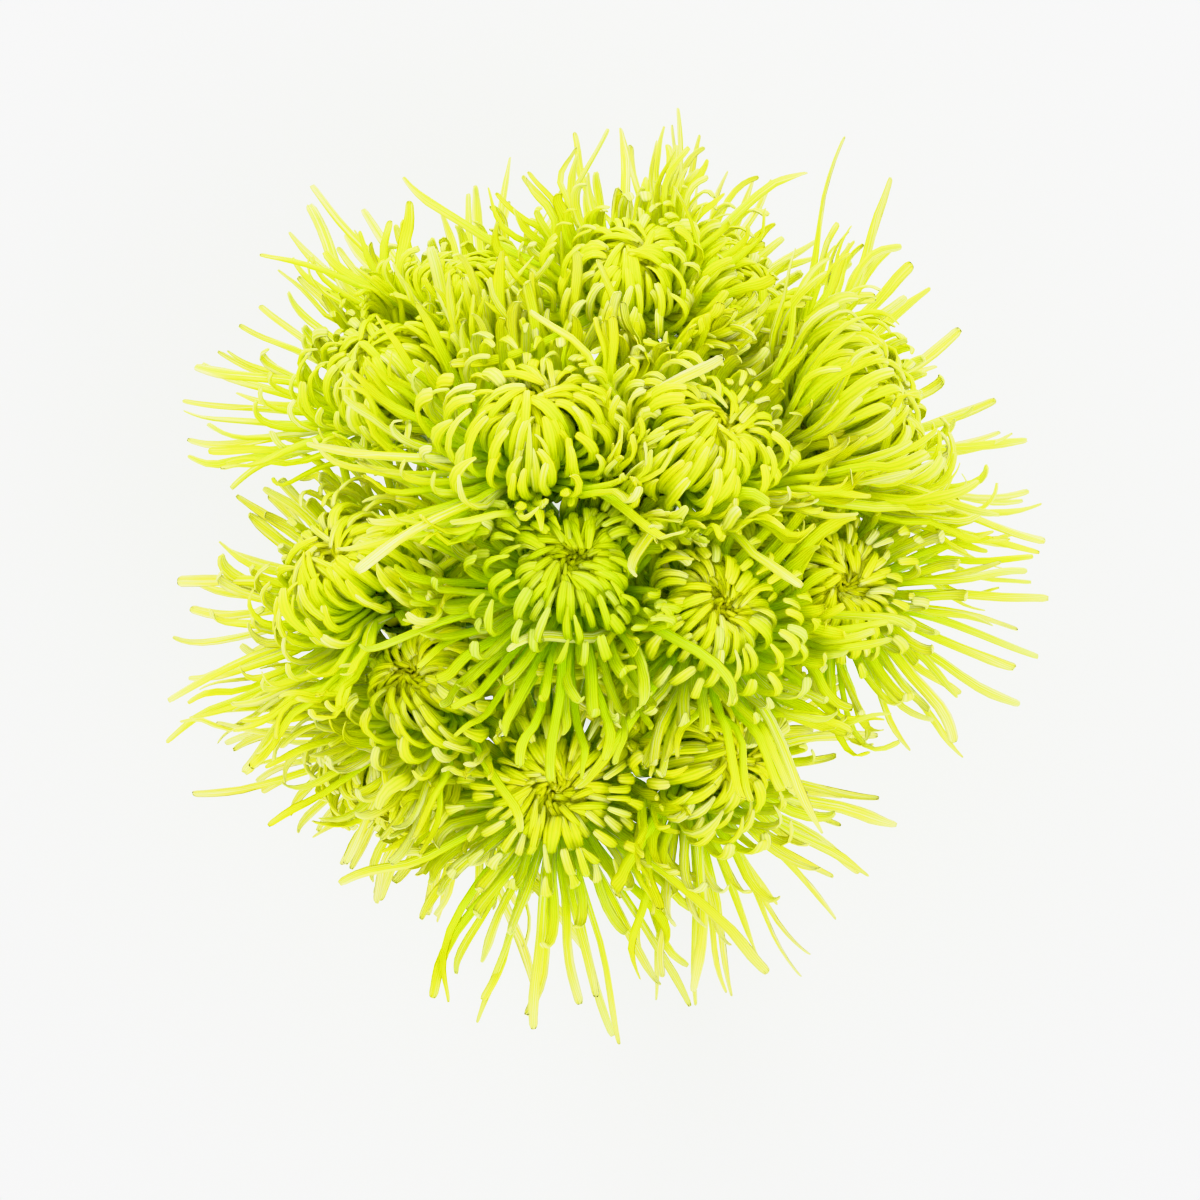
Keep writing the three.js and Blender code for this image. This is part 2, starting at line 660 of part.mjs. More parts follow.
const petalGreen = { color: 0xd3e01c, roughness: 0.5, metalness: 0 };
const stemGreen = { color: 0x6f8f3a, roughness: 0.6, metalness: 0 };
const twineBrown = { color: 0xc2a878, roughness: 0.9, metalness: 0 };

const group = new THREE.Group();

function addPiece(name, solid, look) {
  const mesh = new THREE.Mesh(geometryFromSolid(solid), new THREE.MeshStandardMaterial(look));
  mesh.name = name;
  group.add(mesh);
}

const florets = placeFlorets();
blooms.forEach((bloom, index) => {
  const number = String(index + 1).padStart(2, '0');
  addPiece(`bloom_${number}`, bloomSolid(bloom, florets[index]), petalGreen);
  addPiece(`stem_${number}`, stemSolid(bloom, stems[index]), stemGreen);
});
addPiece('tie', tieSolid(), twineBrown);

// The origin is on the surface, under the middle of the whole outline.
const outlineMiddle = new THREE.Box3().setFromObject(group).getCenter(vec(0, 0, 0));
group.position.set(-outlineMiddle.x, -outlineMiddle.y, 0);

export default group;
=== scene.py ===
# Looks of the hand-tied bunch of green spider chrysanthemums, seen from straight above.
# The bunch is grown here by the same rules as its solids, with every floret and finer shapes.
import math

import bpy
import numpy as np
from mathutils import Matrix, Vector


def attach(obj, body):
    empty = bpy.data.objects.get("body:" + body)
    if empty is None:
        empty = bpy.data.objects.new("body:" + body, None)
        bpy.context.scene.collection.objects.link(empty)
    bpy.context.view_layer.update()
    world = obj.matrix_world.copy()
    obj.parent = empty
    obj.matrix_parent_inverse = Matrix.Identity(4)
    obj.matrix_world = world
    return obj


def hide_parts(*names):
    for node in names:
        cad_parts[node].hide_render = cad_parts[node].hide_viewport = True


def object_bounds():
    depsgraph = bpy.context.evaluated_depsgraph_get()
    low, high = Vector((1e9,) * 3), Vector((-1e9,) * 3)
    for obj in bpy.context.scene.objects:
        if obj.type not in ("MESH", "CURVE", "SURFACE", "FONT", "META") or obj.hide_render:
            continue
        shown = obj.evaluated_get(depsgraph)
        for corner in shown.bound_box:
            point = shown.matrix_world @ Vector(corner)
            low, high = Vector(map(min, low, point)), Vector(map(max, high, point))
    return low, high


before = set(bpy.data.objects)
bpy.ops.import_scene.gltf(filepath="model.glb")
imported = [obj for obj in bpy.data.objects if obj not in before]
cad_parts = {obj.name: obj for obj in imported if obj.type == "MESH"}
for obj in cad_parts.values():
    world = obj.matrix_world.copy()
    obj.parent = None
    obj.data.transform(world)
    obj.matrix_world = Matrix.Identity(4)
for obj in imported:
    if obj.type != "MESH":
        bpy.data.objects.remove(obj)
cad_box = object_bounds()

MM = 0.001
UP = np.array([0.0, 0.0, 1.0])

# ---- driving dimensions (mm)

TIE_Z = 150.0
STEM_RADIUS = 2.6
STRAIGHT_RISE = 34.0
STEM_CURVE_RINGS = 4
PULL_OF_TIE = 0.4
PULL_OF_HEAD = 0.35
TOUCH_GAP = 0.3

STEM_RINGS = {
    "centre": dict(count=1, radius=0.0, slant=0.0, first=0.0, advance=0.0),
    "inner": dict(count=5, radius=5.45, slant=8.5, first=9.5, advance=60.0),
    "outer": dict(count=10, radius=10.9, slant=16.0, first=-21.5, advance=65.0),
}

# Middle of the receptacle, where the bloom leans to, its lean, its size, how far its florets
# close round the axis, and its stem.
BLOOMS = [
    ((-8, 4, 292), 90, 18, 0.95, 0, "centre", 0),
    ((-18, 36, 286), 90, 40, 1.08, 12, "inner", 2),
    ((8, 85, 250), 84, 38, 0.9, 0, "outer", 3),
    ((23, 36, 280), 50, 38, 1.0, 5, "inner", 1),
    ((58, 45, 246), 30, 72, 1.2, 32, "outer", 1),
    ((67, 2, 256), 45, 10, 0.86, 4, "outer", 0),
    ((29, -8, 282), 52, 22, 0.96, 0, "inner", 4),
    ((41, 11, 266), 20, 10, 0.6, 0, "inner", 0),
    ((24, -49, 252), 15, 36, 0.98, 0, "outer", 9),
    ((-13, -56, 258), 90, 4, 1.0, 0, "outer", 8),
    ((-42, -30, 262), 145, 40, 0.9, 5, "inner", 3),
    ((-60, -1, 256), 144, 46, 1.1, 10, "outer", 6),
    ((-56, 57, 240), 121, 52, 0.98, 20, "outer", 5),
    ((-38, 74, 232), 103, 64, 0.94, 32, "outer", 4),
    ((27, 78, 232), 38, 64, 0.96, 30, "outer", 2),
    ((-50, -41, 226), 240, 66, 1.05, 25, "outer", 7),
]

# Rows of florets from the middle out: how many, the four points of the path as (distance from the
# axis, height over the receptacle), the spread of their lengths, the hook at the tip, the sag, the
# width of a floret, and how far the row may reach over a neighbour's space. The last two rows are
# stray florets that lie over other blooms, and those that close round the head.
FLORET_ROWS = [
    (9, [(1, 12), (3.2, 17), (3.4, 23), (1, 26)], 0.1, 20, 0, 1.4, 0),
    (14, [(2, 14), (8, 15), (7.5, 26), (1.5, 24.5)], 0.16, 10, 0, 1.7, 0),
    (22, [(3, 13), (13, 12), (12, 29), (3, 25.5)], 0.2, 15, 0, 2.0, 0),
    (30, [(3.5, 12), (17, 10), (16.5, 32), (5.0, 28.5)], 0.2, 20, 0, 2.3, 0),
    (28, [(4, 13), (19, 8), (20, 32), (8, 29)], 0.14, 25, 0, 2.8, 1),
    (24, [(4, 10), (23, 6), (33, 15), (28, 28)], 0.16, 50, 1, 3.2, 3),
    (26, [(4, 7.5), (24, 6), (40, 12), (43, 23)], 0.16, 45, 2, 3.1, 6),
    (26, [(4, 5), (26, 4), (46, 7), (60, 12)], 0.16, 30, 2, 2.8, 9),
    (22, [(4, 2.5), (28, 2), (50, 1), (70, -1)], 0.18, 15, 3, 2.5, 10),
    (12, [(4, 0.5), (26, -2), (46, -8), (64, -16)], 0.2, 10, 3, 2.3, 8),
    (6, [(4, 8), (24, 10), (48, 20), (72, 16)], 0.2, 10, 4, 3.2, 26),
    (28, [(4, 11.5), (22, 7), (28, 24), (18, 32)], 0.2, 40, 0, 2.6, 1),
]
ROUND_HEAD_ROW = 11
ROUND_HEAD_RANK = 4.5
CUP_END = 0.4
PATH_STEPS = 32
HOOK_START = 0.8
SPIN_PER_BLOOM = 0.7
TURN_JITTER = 0.25
HOOK_JITTER = 0.6
SWERVE = 0.2
LIFT = 0.12
INNER_ROWS = 4                  # too fine to be in the solids, and never cupped
INNER_SWIRL = 0.35
CUPPING_ROWS = 2.0
CURL = 4.0
WOBBLE = 0.7
SMOOTHINGS = 3

# Random draws of a floret: five for its path, then those for its shape.
DRAWS_PER_FLORET = 16
FIRST_SHAPE_DRAW = 5
SEEDS_PER_BLOOM = 4096
SEEDS_PER_ROW = 128

# Stretches over which a floret changes, as start and length, in shares of its own length. From
# the first of the loose ranks on, florets curl and waver more and more.
LOOSE_RANKS = (3.5, 2)
CURLED = (0.7, 0.3)
WAVERING = (0.0, 0.5)
WIDENING = (0.0, 0.3)
FLARED = (0.72, 0.2)
BLUNT = (0.78, 0.22)
FLATTER = (0.55, 0.4)
OPENING_LENGTH = 0.16
OPEN_SHARE = 0.7                # of the florets that open near their tips
TIP_AHEAD = 0.45
BOX_MARGIN = 1.6                # how far florets stay inside the solids' box
FLORET_DEPTH = 1.9
FLORET_RIBS = 8

# Rings along a floret, closer together at the tip.
RING_SHARES = np.array([0, 0.08, 0.2, 0.33, 0.46, 0.58, 0.69, 0.79, 0.86, 0.915, 0.955, 0.982, 1])
RINGS = len(RING_SHARES)
# Corners of a floret's section: the underside from edge to edge, then the upper side back, with
# their u, and how far each stands out at the torn end.
UNDER_ANGLES = np.radians([180, 225, 270, 315, 360])
UPPER_PLACES = np.array([0.62, 0.0, -0.62])
SIDES = len(UNDER_ANGLES) + len(UPPER_PLACES)
UPPER_U = 0.5 + (0.62 - UPPER_PLACES) / 1.24 * 0.4 + 0.05
SECTION_U = np.concatenate([(UNDER_ANGLES - math.pi) / math.tau, UPPER_U])
END_UVS = [[0.25, 0.0], [0.25, 0.99]]
TEETH = np.array([-0.2, 0.35, -0.25, 0.35, -0.2, 0.3, -0.35, 0.3])

# Blooms whose inner rows close over the middle, how far, and the move of the paths' last points.
CLOSED_BLOOMS = {1: 0.7, 2: 1, 3: 0.6, 4: 1, 11: 0.8, 12: 1, 13: 1, 14: 1, 15: 0.6}
CLOSING = np.array([-4.5, 1.0])

# Blooms in painted shade, mostly in the middle of the bunch: greener and darker than the others, and by
# what share.
PAINTED_SHADE_BLOOMS = {0: 0.75, 7: 0.65, 6: 0.3, 9: 0.2, 5: 0.15, 10: 0.15, 3: 0.1, 1: 0.1}
# Blooms at the rim in painted light, as if lit through: their florets are pale down to their roots, and
# by what share.
PAINTED_LIGHT_BLOOMS = {12: 1.0, 13: 0.8, 4: 0.8, 2: 0.7, 14: 0.7, 11: 0.4, 15: 0.3}

HEAD_CENTRE_HEIGHT = 24.0
SIZE_SHARE = 16.0
SHARE_WAVE = 6.0
WAVE_RATE = np.array([0.25, 0.23, 0.27])
WAVE_PHASE = np.array([1.0, 2.0, 3.0])
PAIR_PHASE = (1.7, 2.3)         # for the lower and the higher number of two blooms
LEAST_STEEPNESS = 0.3
BORDER_CLEARANCE = 2.1
BORDER_SOFTNESS = 11.0
STEM_CLEARANCE = 2.2
STEM_SOFTNESS = 5.0
PUSH = 0.25
PUSH_MARGIN = 0.6
LOOK_AHEAD = 2.0
PRESSED_SHORTENING = 0.35
PRESS_HELD = 0.7
LIFT_WHEN_PRESSED = 0.5
HEAD_RADIUS = 18.0
HEAD_HEIGHT = 17.0
HEAD_CLEARANCE = 1.6
HEAD_SOFTNESS = 9.0

# Receptacle: height over the base and radius.
RECEPTACLE = [(0, 6.2), (2, 6.6), (6, 5.6), (11, 4.4), (14, 2.8), (15, 0.8)]
RECEPTACLE_SIDES = 12
RECEPTACLE_WAVES = 6
RECEPTACLE_WAVE = 0.06
RECEPTACLE_SHADE = 0.6

# Calyx: depth under the core and radius of its rings; count, depth and length of rows of scales.
CORE_SINK = 2.0
CALYX_DEPTH = 8.0
CALYX_RADIUS = 7.5
CALYX_REACH = 7.0
CALYX_RINGS = [(7.2, 2.5), (6.4, 3.7), (5.2, 4.9), (3.6, 6.0), (1.8, 6.8), (0.0, 7.1)]
BRACT_ROWS = [(10, 7.2, 5.0), (12, 5.2, 5.6), (14, 3.2, 5.6)]
BRACT_HALF_WIDTH = 1.7
BRACT_THICKNESS = 0.6
BRACT_GRID = (5, 4)

STEM_SIDES = 15
STEM_RIBS = 5
STEM_RADII = [2.8, 2.5, 2.4, 2.2]    # at the foot, under the tie, in it and at the top
UNDER_TIE = 20.0
STRAIGHT_RINGS = 44
CURVED_RINGS = 24
RIB_DEPTH = 0.03
CUT_EDGE = 0.3
SCARS = dict(count=4, first=22.0, spacing=28.0, turn=2.4, half_height=1.6, depth=0.5)

# Leaves: the bloom each grows under, its height, and its turn from straight outward, in degrees.
LEAVES = [(2, 186, 14), (5, 182, -6), (8, 188, 10), (9, 180, -14), (11, 190, 8), (12, 180, 6)]
LEAF_LENGTH = 46.0
LEAF_THICKNESS = 0.8
LEAF_RISE = 0.5
LEAF_ARCH = 0.42
LEAF_FOLD = 0.22
LEAF_OUTLINE = [
    (0, 1.1), (0.12, 1.1), (0.2, 1.8), (0.26, 6), (0.32, 11), (0.37, 12), (0.42, 10.5), (0.47, 6.5),
    (0.5, 6.5), (0.56, 9.5), (0.63, 12.5), (0.68, 12), (0.73, 8.5), (0.77, 5.8), (0.82, 6.4),
    (0.88, 5.6), (0.94, 3.4), (1, 0.6),
]
LEAF_GRID = (70, 13)
LEAF_TEETH = 17
LEAF_TOOTH_SIZE = 0.07
LEAF_WIDEST = 12.0
LEAF_SWEEP = 3.0
LEAF_VEIN_DEPTH = 0.35
LEAF_VEIN_SPACING = 9.0
LEAF_VEIN_SLANT = 0.8

TWINE = 4.0
TWINE_TURNS = 3
TWINE_PLIES = 3
TWINE_LAY = 10.0                # length in which a ply goes once round the twine
PLY_SHARE = 0.52                # radius of a ply against the twine's
PLY_SIDES = 8
TIE_SEGMENTS = 14
COIL_POINTS = 340
KNOT_SIZE = np.array([2.9, 1.9, 2.3])
KNOT_TWINE_RADIUS = 1.25
KNOT_POINTS = 90
TAIL = np.array([(1, 0, -1), (6, -5, -6), (11, -7, -22), (12, -9, -39)])    # from the knot
TAIL_RADIUS = 1.4
TAIL_LAY = 7.0
TAIL_POINTS = 60
FIBRES_PER_TAIL = 26
FIBRE_RADIUS = 0.07
FUZZ_FIBRES = 260
FUZZ_RADIUS = 0.05

# Stage: lights by name, place, size and power in watts.
FLOOR_HALF = 3000.0
WORLD_STRENGTH = 1.22
LIGHTS = [("key_light", (-300, 1400, 800), 600, 12), ("fill_light", (500, -500, 1500), 700, 6)]
LIGHTS_AIM = (0, 0, 250)

# Camera: straight above, far enough for a long lens, with the photograph's framing.
PHOTO_SIZE = 1200
CAMERA_HEIGHT = 1250.0
PIXELS_PER_RADIAN = 3380.0
SENSOR_WIDTH = 36.0


# ---- small helpers

def unit(vectors):
    """Vectors scaled to length one."""
    return vectors / np.maximum(1e-9, np.linalg.norm(vectors, axis=-1, keepdims=True))


def smooth(value):
    """Soft step from 0 to 1."""
    value = np.clip(value, 0.0, 1.0)
    return value * value * (3 - 2 * value)


def rise(value, start, length):
    """Soft step from 0 to 1 over a length from a start."""
    return smooth((value - start) / length)


def random_from(seed, count):
    """Repeatable random numbers from a seed, the same as the solids use."""
    state = seed & 0xFFFFFFFF
    numbers = []
    for _ in range(count):
        state = (state + 0x6D2B79F5) & 0xFFFFFFFF
        t = ((state ^ (state >> 15)) * (state | 1)) & 0xFFFFFFFF
        t ^= (t + (((t ^ (t >> 7)) * (t | 61)) & 0xFFFFFFFF)) & 0xFFFFFFFF
        numbers.append(((t ^ (t >> 14)) & 0xFFFFFFFF) / 4294967296)
    return numbers


def walked(points):
    """Length along a path, or along each of several, up to each of its points."""
    steps = np.linalg.norm(np.diff(points, axis=-2), axis=-1)
    return np.concatenate([np.zeros((*steps.shape[:-1], 1)), np.cumsum(steps, axis=-1)], axis=-1)


def compass(angle):
    """Level direction at an angle from +X, and the one a quarter turn on from it."""
    cos, sin = math.cos(angle), math.sin(angle)
    return np.array([cos, sin, 0.0]), np.array([-sin, cos, 0.0])


def angles_round(sides):
    """Angles of the corners of a ring."""
    return np.arange(sides) / sides * math.tau


def swing(a, b, angles):
    """Directions at angles from one direction toward another."""
    return np.cos(angles)[..., None] * a + np.sin(angles)[..., None] * b


def looked_up(wanted, values, path):
    """Points of a path where a value that grows along it is as wanted."""
    return np.stack([np.interp(wanted, values, path[:, c]) for c in range(3)], axis=-1)


def triangles(quads):
    """Two triangles for each quad."""
    return np.concatenate([quads[:, [0, 1, 2]], quads[:, [0, 2, 3]]])


def tube_faces(rings, sides):
    """Triangles of a tube of rings whose ends close in two more points, the start's and the end's."""
    ring, side = np.meshgrid(np.arange(rings - 1), np.arange(sides), indexing="ij")
    a = ring * sides + side
    b = ring * sides + (side + 1) % sides
    wall = triangles(np.stack([a, b, b + sides, a + sides], axis=-1).reshape(-1, 4))
    last = (rings - 1) * sides
    start, end = rings * sides, rings * sides + 1
    caps = [[(s + 1) % sides, s, start] for s in range(sides)]
    caps += [[last + s, last + (s + 1) % sides, end] for s in range(sides)]
    return np.concatenate([wall, np.array(caps)])


def add_object(name, data):
    """A new object in the scene."""
    thing = bpy.data.objects.new(name, data)
    bpy.context.scene.collection.objects.link(thing)
    return thing


# ---- where blooms and stems stand

def axis_offset():
    """Where the straight middle stem stands in the frame, in mm."""
    points = np.array([vertex.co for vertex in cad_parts["stem_01"].data.vertices])
    foot = points[points[:, 2] < points[:, 2].min() + 1e-5]
    return np.array([*(foot[:, :2].min(axis=0) + foot[:, :2].max(axis=0)) / 2, 0.0]) / MM


OFFSET = axis_offset()


def make_bloom(index, base, toward, lean, size, cup, ring, slot):
    """A bloom's place, axes and size, what its florets are like, and where its stem is."""
    out, side = compass(math.radians(toward))
    lean = math.radians(lean)
    axis = out * math.sin(lean) + UP * math.cos(lean)
    base = np.array(base, dtype=float)
    return dict(
        index=index, number=f"{index + 1:02d}", base=base, axis=axis, side=side,
        front=np.cross(side, axis), size=size, cup=math.radians(cup), ring=ring, slot=slot,
        # green is how far a bloom is in painted shade, pale how far it is in painted light
        closing=CLOSED_BLOOMS.get(index, 0.0), green=PAINTED_SHADE_BLOOMS.get(index, 0.0),
        pale=PAINTED_LIGHT_BLOOMS.get(index, 0.0),
    )


blooms = [make_bloom(index, *row) for index, row in enumerate(BLOOMS)]
sizes = np.array([bloom["size"] for bloom in blooms])
shares = SIZE_SHARE * (sizes - 1)    # of the room between blooms


def over_bases(height):
    """Points at a height over the bases of all blooms."""
    return np.array([bloom["base"] + bloom["axis"] * height * bloom["size"] for bloom in blooms])


centres = over_bases(HEAD_CENTRE_HEIGHT)
head_centres = over_bases(HEAD_HEIGHT)


def bezier(points, t):
    """Point of a cubic curve, for an array of t."""
    t = np.asarray(t, dtype=float)[..., None]
    u = 1 - t
    p = [np.asarray(q, dtype=float) for q in points]
    return u ** 3 * p[0] + 3 * u * u * t * p[1] + 3 * u * t * t * p[2] + t ** 3 * p[3]


def under_core(bloom, depth):
    """Point on a bloom's axis below the flat underside of its core."""
    return bloom["base"] - bloom["axis"] * (CORE_SINK + TOUCH_GAP + depth * bloom["size"])


def stem_route(bloom):
    """Foot, tie and upper curve of a stem."""
    ring = STEM_RINGS[bloom["ring"]]
    head_angle = ring["first"] + (360 / ring["count"]) * bloom["slot"]
    waist = math.radians(head_angle - ring["advance"])
    slant = math.radians(ring["slant"])
    outward, onward = compass(waist)
    direction = onward * math.sin(slant) + UP * math.cos(slant)
    middle = outward * ring["radius"] + UP * TIE_Z
    straight_end = middle + direction * STRAIGHT_RISE / direction[2]
    calyx_start = under_core(bloom, CALYX_DEPTH)
    reach = np.linalg.norm(straight_end - calyx_start)
    curve = [
        straight_end,
        straight_end + direction * reach * PULL_OF_TIE,
        calyx_start - bloom["axis"] * reach * PULL_OF_HEAD,
        calyx_start,
    ]
    foot = middle - direction * TIE_Z / direction[2]
    return dict(foot=foot, middle=middle, curve=curve, direction=direction, outward=outward)


routes = [stem_route(bloom) for bloom in blooms]


def stem_obstacles():
    """Straight stretches of stems above the tie and of calyxes: whose, start, end and radius."""
    stretches = []
    for bloom, route in zip(blooms, routes):
        points = [route["middle"], *bezier(route["curve"], np.linspace(0, 1, STEM_CURVE_RINGS))]
        for a, b in zip(points, points[1:]):
            stretches.append((bloom["index"], a, b, STEM_RADIUS))
        calyx_foot = bloom["base"] - bloom["axis"] * CALYX_REACH * bloom["size"]
        stretches.append((bloom["index"], calyx_foot, bloom["base"], CALYX_RADIUS * bloom["size"]))
    return [np.array(column) for column in zip(*stretches)]


owners, starts, ends, stretch_radii = stem_obstacles()


# ---- room between blooms

def rooms_beside(i, others, points):
    """How far points are inside the space of bloom i beside each other bloom, and the ways in."""
    own = (points - centres[i])[:, None]
    other = points[:, None] - centres[others]
    own_distance = np.linalg.norm(own, axis=2)
    other_distance = np.linalg.norm(other, axis=2)
    sign = np.where(i < others, 1.0, -1.0)
    pair = PAIR_PHASE[0] * np.minimum(i, others) + PAIR_PHASE[1] * np.maximum(i, others)
    phase = (WAVE_RATE * points)[:, None] + WAVE_PHASE * pair[:, None]
    room = other_distance - own_distance + (shares[i] - shares[others])
    room = room + sign * (SHARE_WAVE / 2) * np.sin(phase).sum(axis=2)
    inward = other / other_distance[..., None] - own / own_distance[..., None]
    inward = inward + sign[:, None] * (SHARE_WAVE / 2) * WAVE_RATE * np.cos(phase)
    steepness = np.maximum(LEAST_STEEPNESS, np.linalg.norm(inward, axis=2))
    return room / steepness, inward / steepness[..., None]


def out_of_radius(away, radii):
    """How far points are out of a radius about what they are away from, and the ways out."""
    length = np.maximum(1e-6, np.linalg.norm(away, axis=2))
    return length - radii, away / length[..., None]


def rooms_from_stems(i, points):
    """Distance from points to the stems and calyxes of other blooms, and the ways out."""
    others = owners != i
    along = (ends - starts)[others]
    reach = points[:, None] - starts[others]
    t = np.clip((reach * along).sum(axis=2) / (along * along).sum(axis=1), 0.0, 1.0)
    return out_of_radius(reach - t[..., None] * along, stretch_radii[others])


def hindrances(i, points, over):
    """What bends florets of bloom i: for each thing, its nearness, its push and the way out."""
    others = np.delete(np.arange(len(blooms)), i)
    from_heads = points[:, None] - head_centres[others]
    groups = [
        (*rooms_beside(i, others, points), BORDER_CLEARANCE - over, BORDER_SOFTNESS),
        (*out_of_radius(from_heads, HEAD_RADIUS * sizes[others]), HEAD_CLEARANCE, HEAD_SOFTNESS),
        (*rooms_from_stems(i, points), STEM_CLEARANCE, STEM_SOFTNESS),
    ]
    for distances, inwards, clearance, softness in groups:
        for n in range(distances.shape[1]):
            distance = distances[:, n]
            near = np.clip((clearance + softness - distance) / softness, 0.0, 1.0)
            if near.any():
                push = PUSH * np.maximum(0.0, clearance + PUSH_MARGIN - distance)
                yield near, push, inwards[:, n]


# ---- florets

def grow_florets(bloom):
    """Paths of all florets of a bloom, and what each floret is like."""
    number, k = np.array([(n, k) for n, row in enumerate(FLORET_ROWS) for k in range(row[0])]).T
    count, control, spread, hook, sag, width, over = (
        np.array(column, dtype=float)[number] for column in zip(*FLORET_ROWS))
    seeds = bloom["index"] * SEEDS_PER_BLOOM + number * SEEDS_PER_ROW + k
    draws = np.array([random_from(seed, DRAWS_PER_FLORET) for seed in seeds.tolist()])
    jitter = draws * 2 - 1
    control[number < INNER_ROWS, 3] += CLOSING * bloom["closing"]

    turn = (k + 0.5 * (number % 2) + TURN_JITTER * jitter[:, 0]) / count * math.tau
    turn = turn + bloom["index"] * SPIN_PER_BLOOM
    scale = bloom["size"] * (1 + spread * jitter[:, 1])
    hook = np.radians(hook) * (1 + HOOK_JITTER * jitter[:, 2])
    swerve = SWERVE * jitter[:, 3] + np.where(number < INNER_ROWS, INNER_SWIRL, 0.0)
    lift = LIFT * jitter[:, 4]
    rank = np.where(number == ROUND_HEAD_ROW, ROUND_HEAD_RANK, number)
    cupped = np.clip((rank - INNER_ROWS) / CUPPING_ROWS, 0.0, 1.0)

    axis = bloom["axis"]
    out = swing(bloom["front"], bloom["side"], turn)
    across = np.cross(axis, out)
    here = bloom["base"] + (out * control[:, 0, :1] + axis * control[:, 0, 1:]) * bloom["size"]
    points = [here]
    upward = unit(axis + UP)
    pressed_whole = np.zeros(len(number))
    for m in range(PATH_STEPS):
        t = (m + 0.5) / PATH_STEPS
        u = 1 - t
        weights = np.array([3 * u * u, 6 * u * t, 3 * t * t])
        step = (np.diff(control, axis=1) * weights[:, None]).sum(axis=1)
        bend = hook * min(1.0, max(0.0, (t - HOOK_START) / (1 - HOOK_START))) + lift * t
        bend = bend + bloom["cup"] * cupped * min(1.0, t / CUP_END)
        turned_out = step[:, 0] * np.cos(bend) - step[:, 1] * np.sin(bend)
        turned_up = step[:, 0] * np.sin(bend) + step[:, 1] * np.cos(bend)
        direction = (
            out * turned_out[:, None] + axis * turned_up[:, None]
            + across * (swerve * t * turned_out)[:, None]
        )
        direction[:, 2] -= 2 * sag * t
        natural = np.linalg.norm(direction, axis=1)
        direction = direction / natural[:, None]

        pressed = np.zeros(len(number))
        ahead = here + direction * LOOK_AHEAD
        for near, push, inward in hindrances(bloom["index"], ahead, over):
            toward = np.maximum(0.0, -(direction * inward).sum(axis=1))
            direction = direction + inward * (toward * near + push)[:, None]
            direction = direction + upward * (LIFT_WHEN_PRESSED * toward * near)[:, None]
            direction = unit(direction)
            pressed = np.maximum(pressed, near * near * toward)
        pressed_whole = np.maximum(pressed_whole, pressed)
        hold = np.maximum(pressed, pressed_whole * PRESS_HELD)
        advance = natural / PATH_STEPS * scale * (1 - PRESSED_SHORTENING * hold)
        here = here + direction * advance[:, None]
        points.append(here)
    return dict(
        paths=smoothed(np.stack(points, axis=1)), across=across, draws=draws, rank=rank,
        width=width, pressed=pressed_whole,
    )


def smoothed(paths):
    """Paths without sharp bends, between the same ends."""
    for _ in range(SMOOTHINGS):
        paths[:, 1:-1] = (paths[:, :-2] + 2 * paths[:, 1:-1] + paths[:, 2:]) / 4
    return paths


def resample(paths):
    """Points at the ring shares of each path's length."""
    return np.array([
        looked_up(RING_SHARES * lengths[-1], lengths, path)
        for path, lengths in zip(paths, walked(paths))])


def keep_in_box(paths):
    """Cut paths where they would leave the solids' outline."""
    low = np.array(cad_box[0]) / MM - OFFSET + BOX_MARGIN
    high = np.array(cad_box[1]) / MM - OFFSET - BOX_MARGIN
    inside = ((paths > low) & (paths < high)).all(axis=2)
    for path, good in zip(paths, inside):
        if not good.all():
            last = max(2, int(np.argmin(good)) - 1)
            path[:] = looked_up(np.linspace(0, last, len(path)), np.arange(len(path)), path)
    return paths


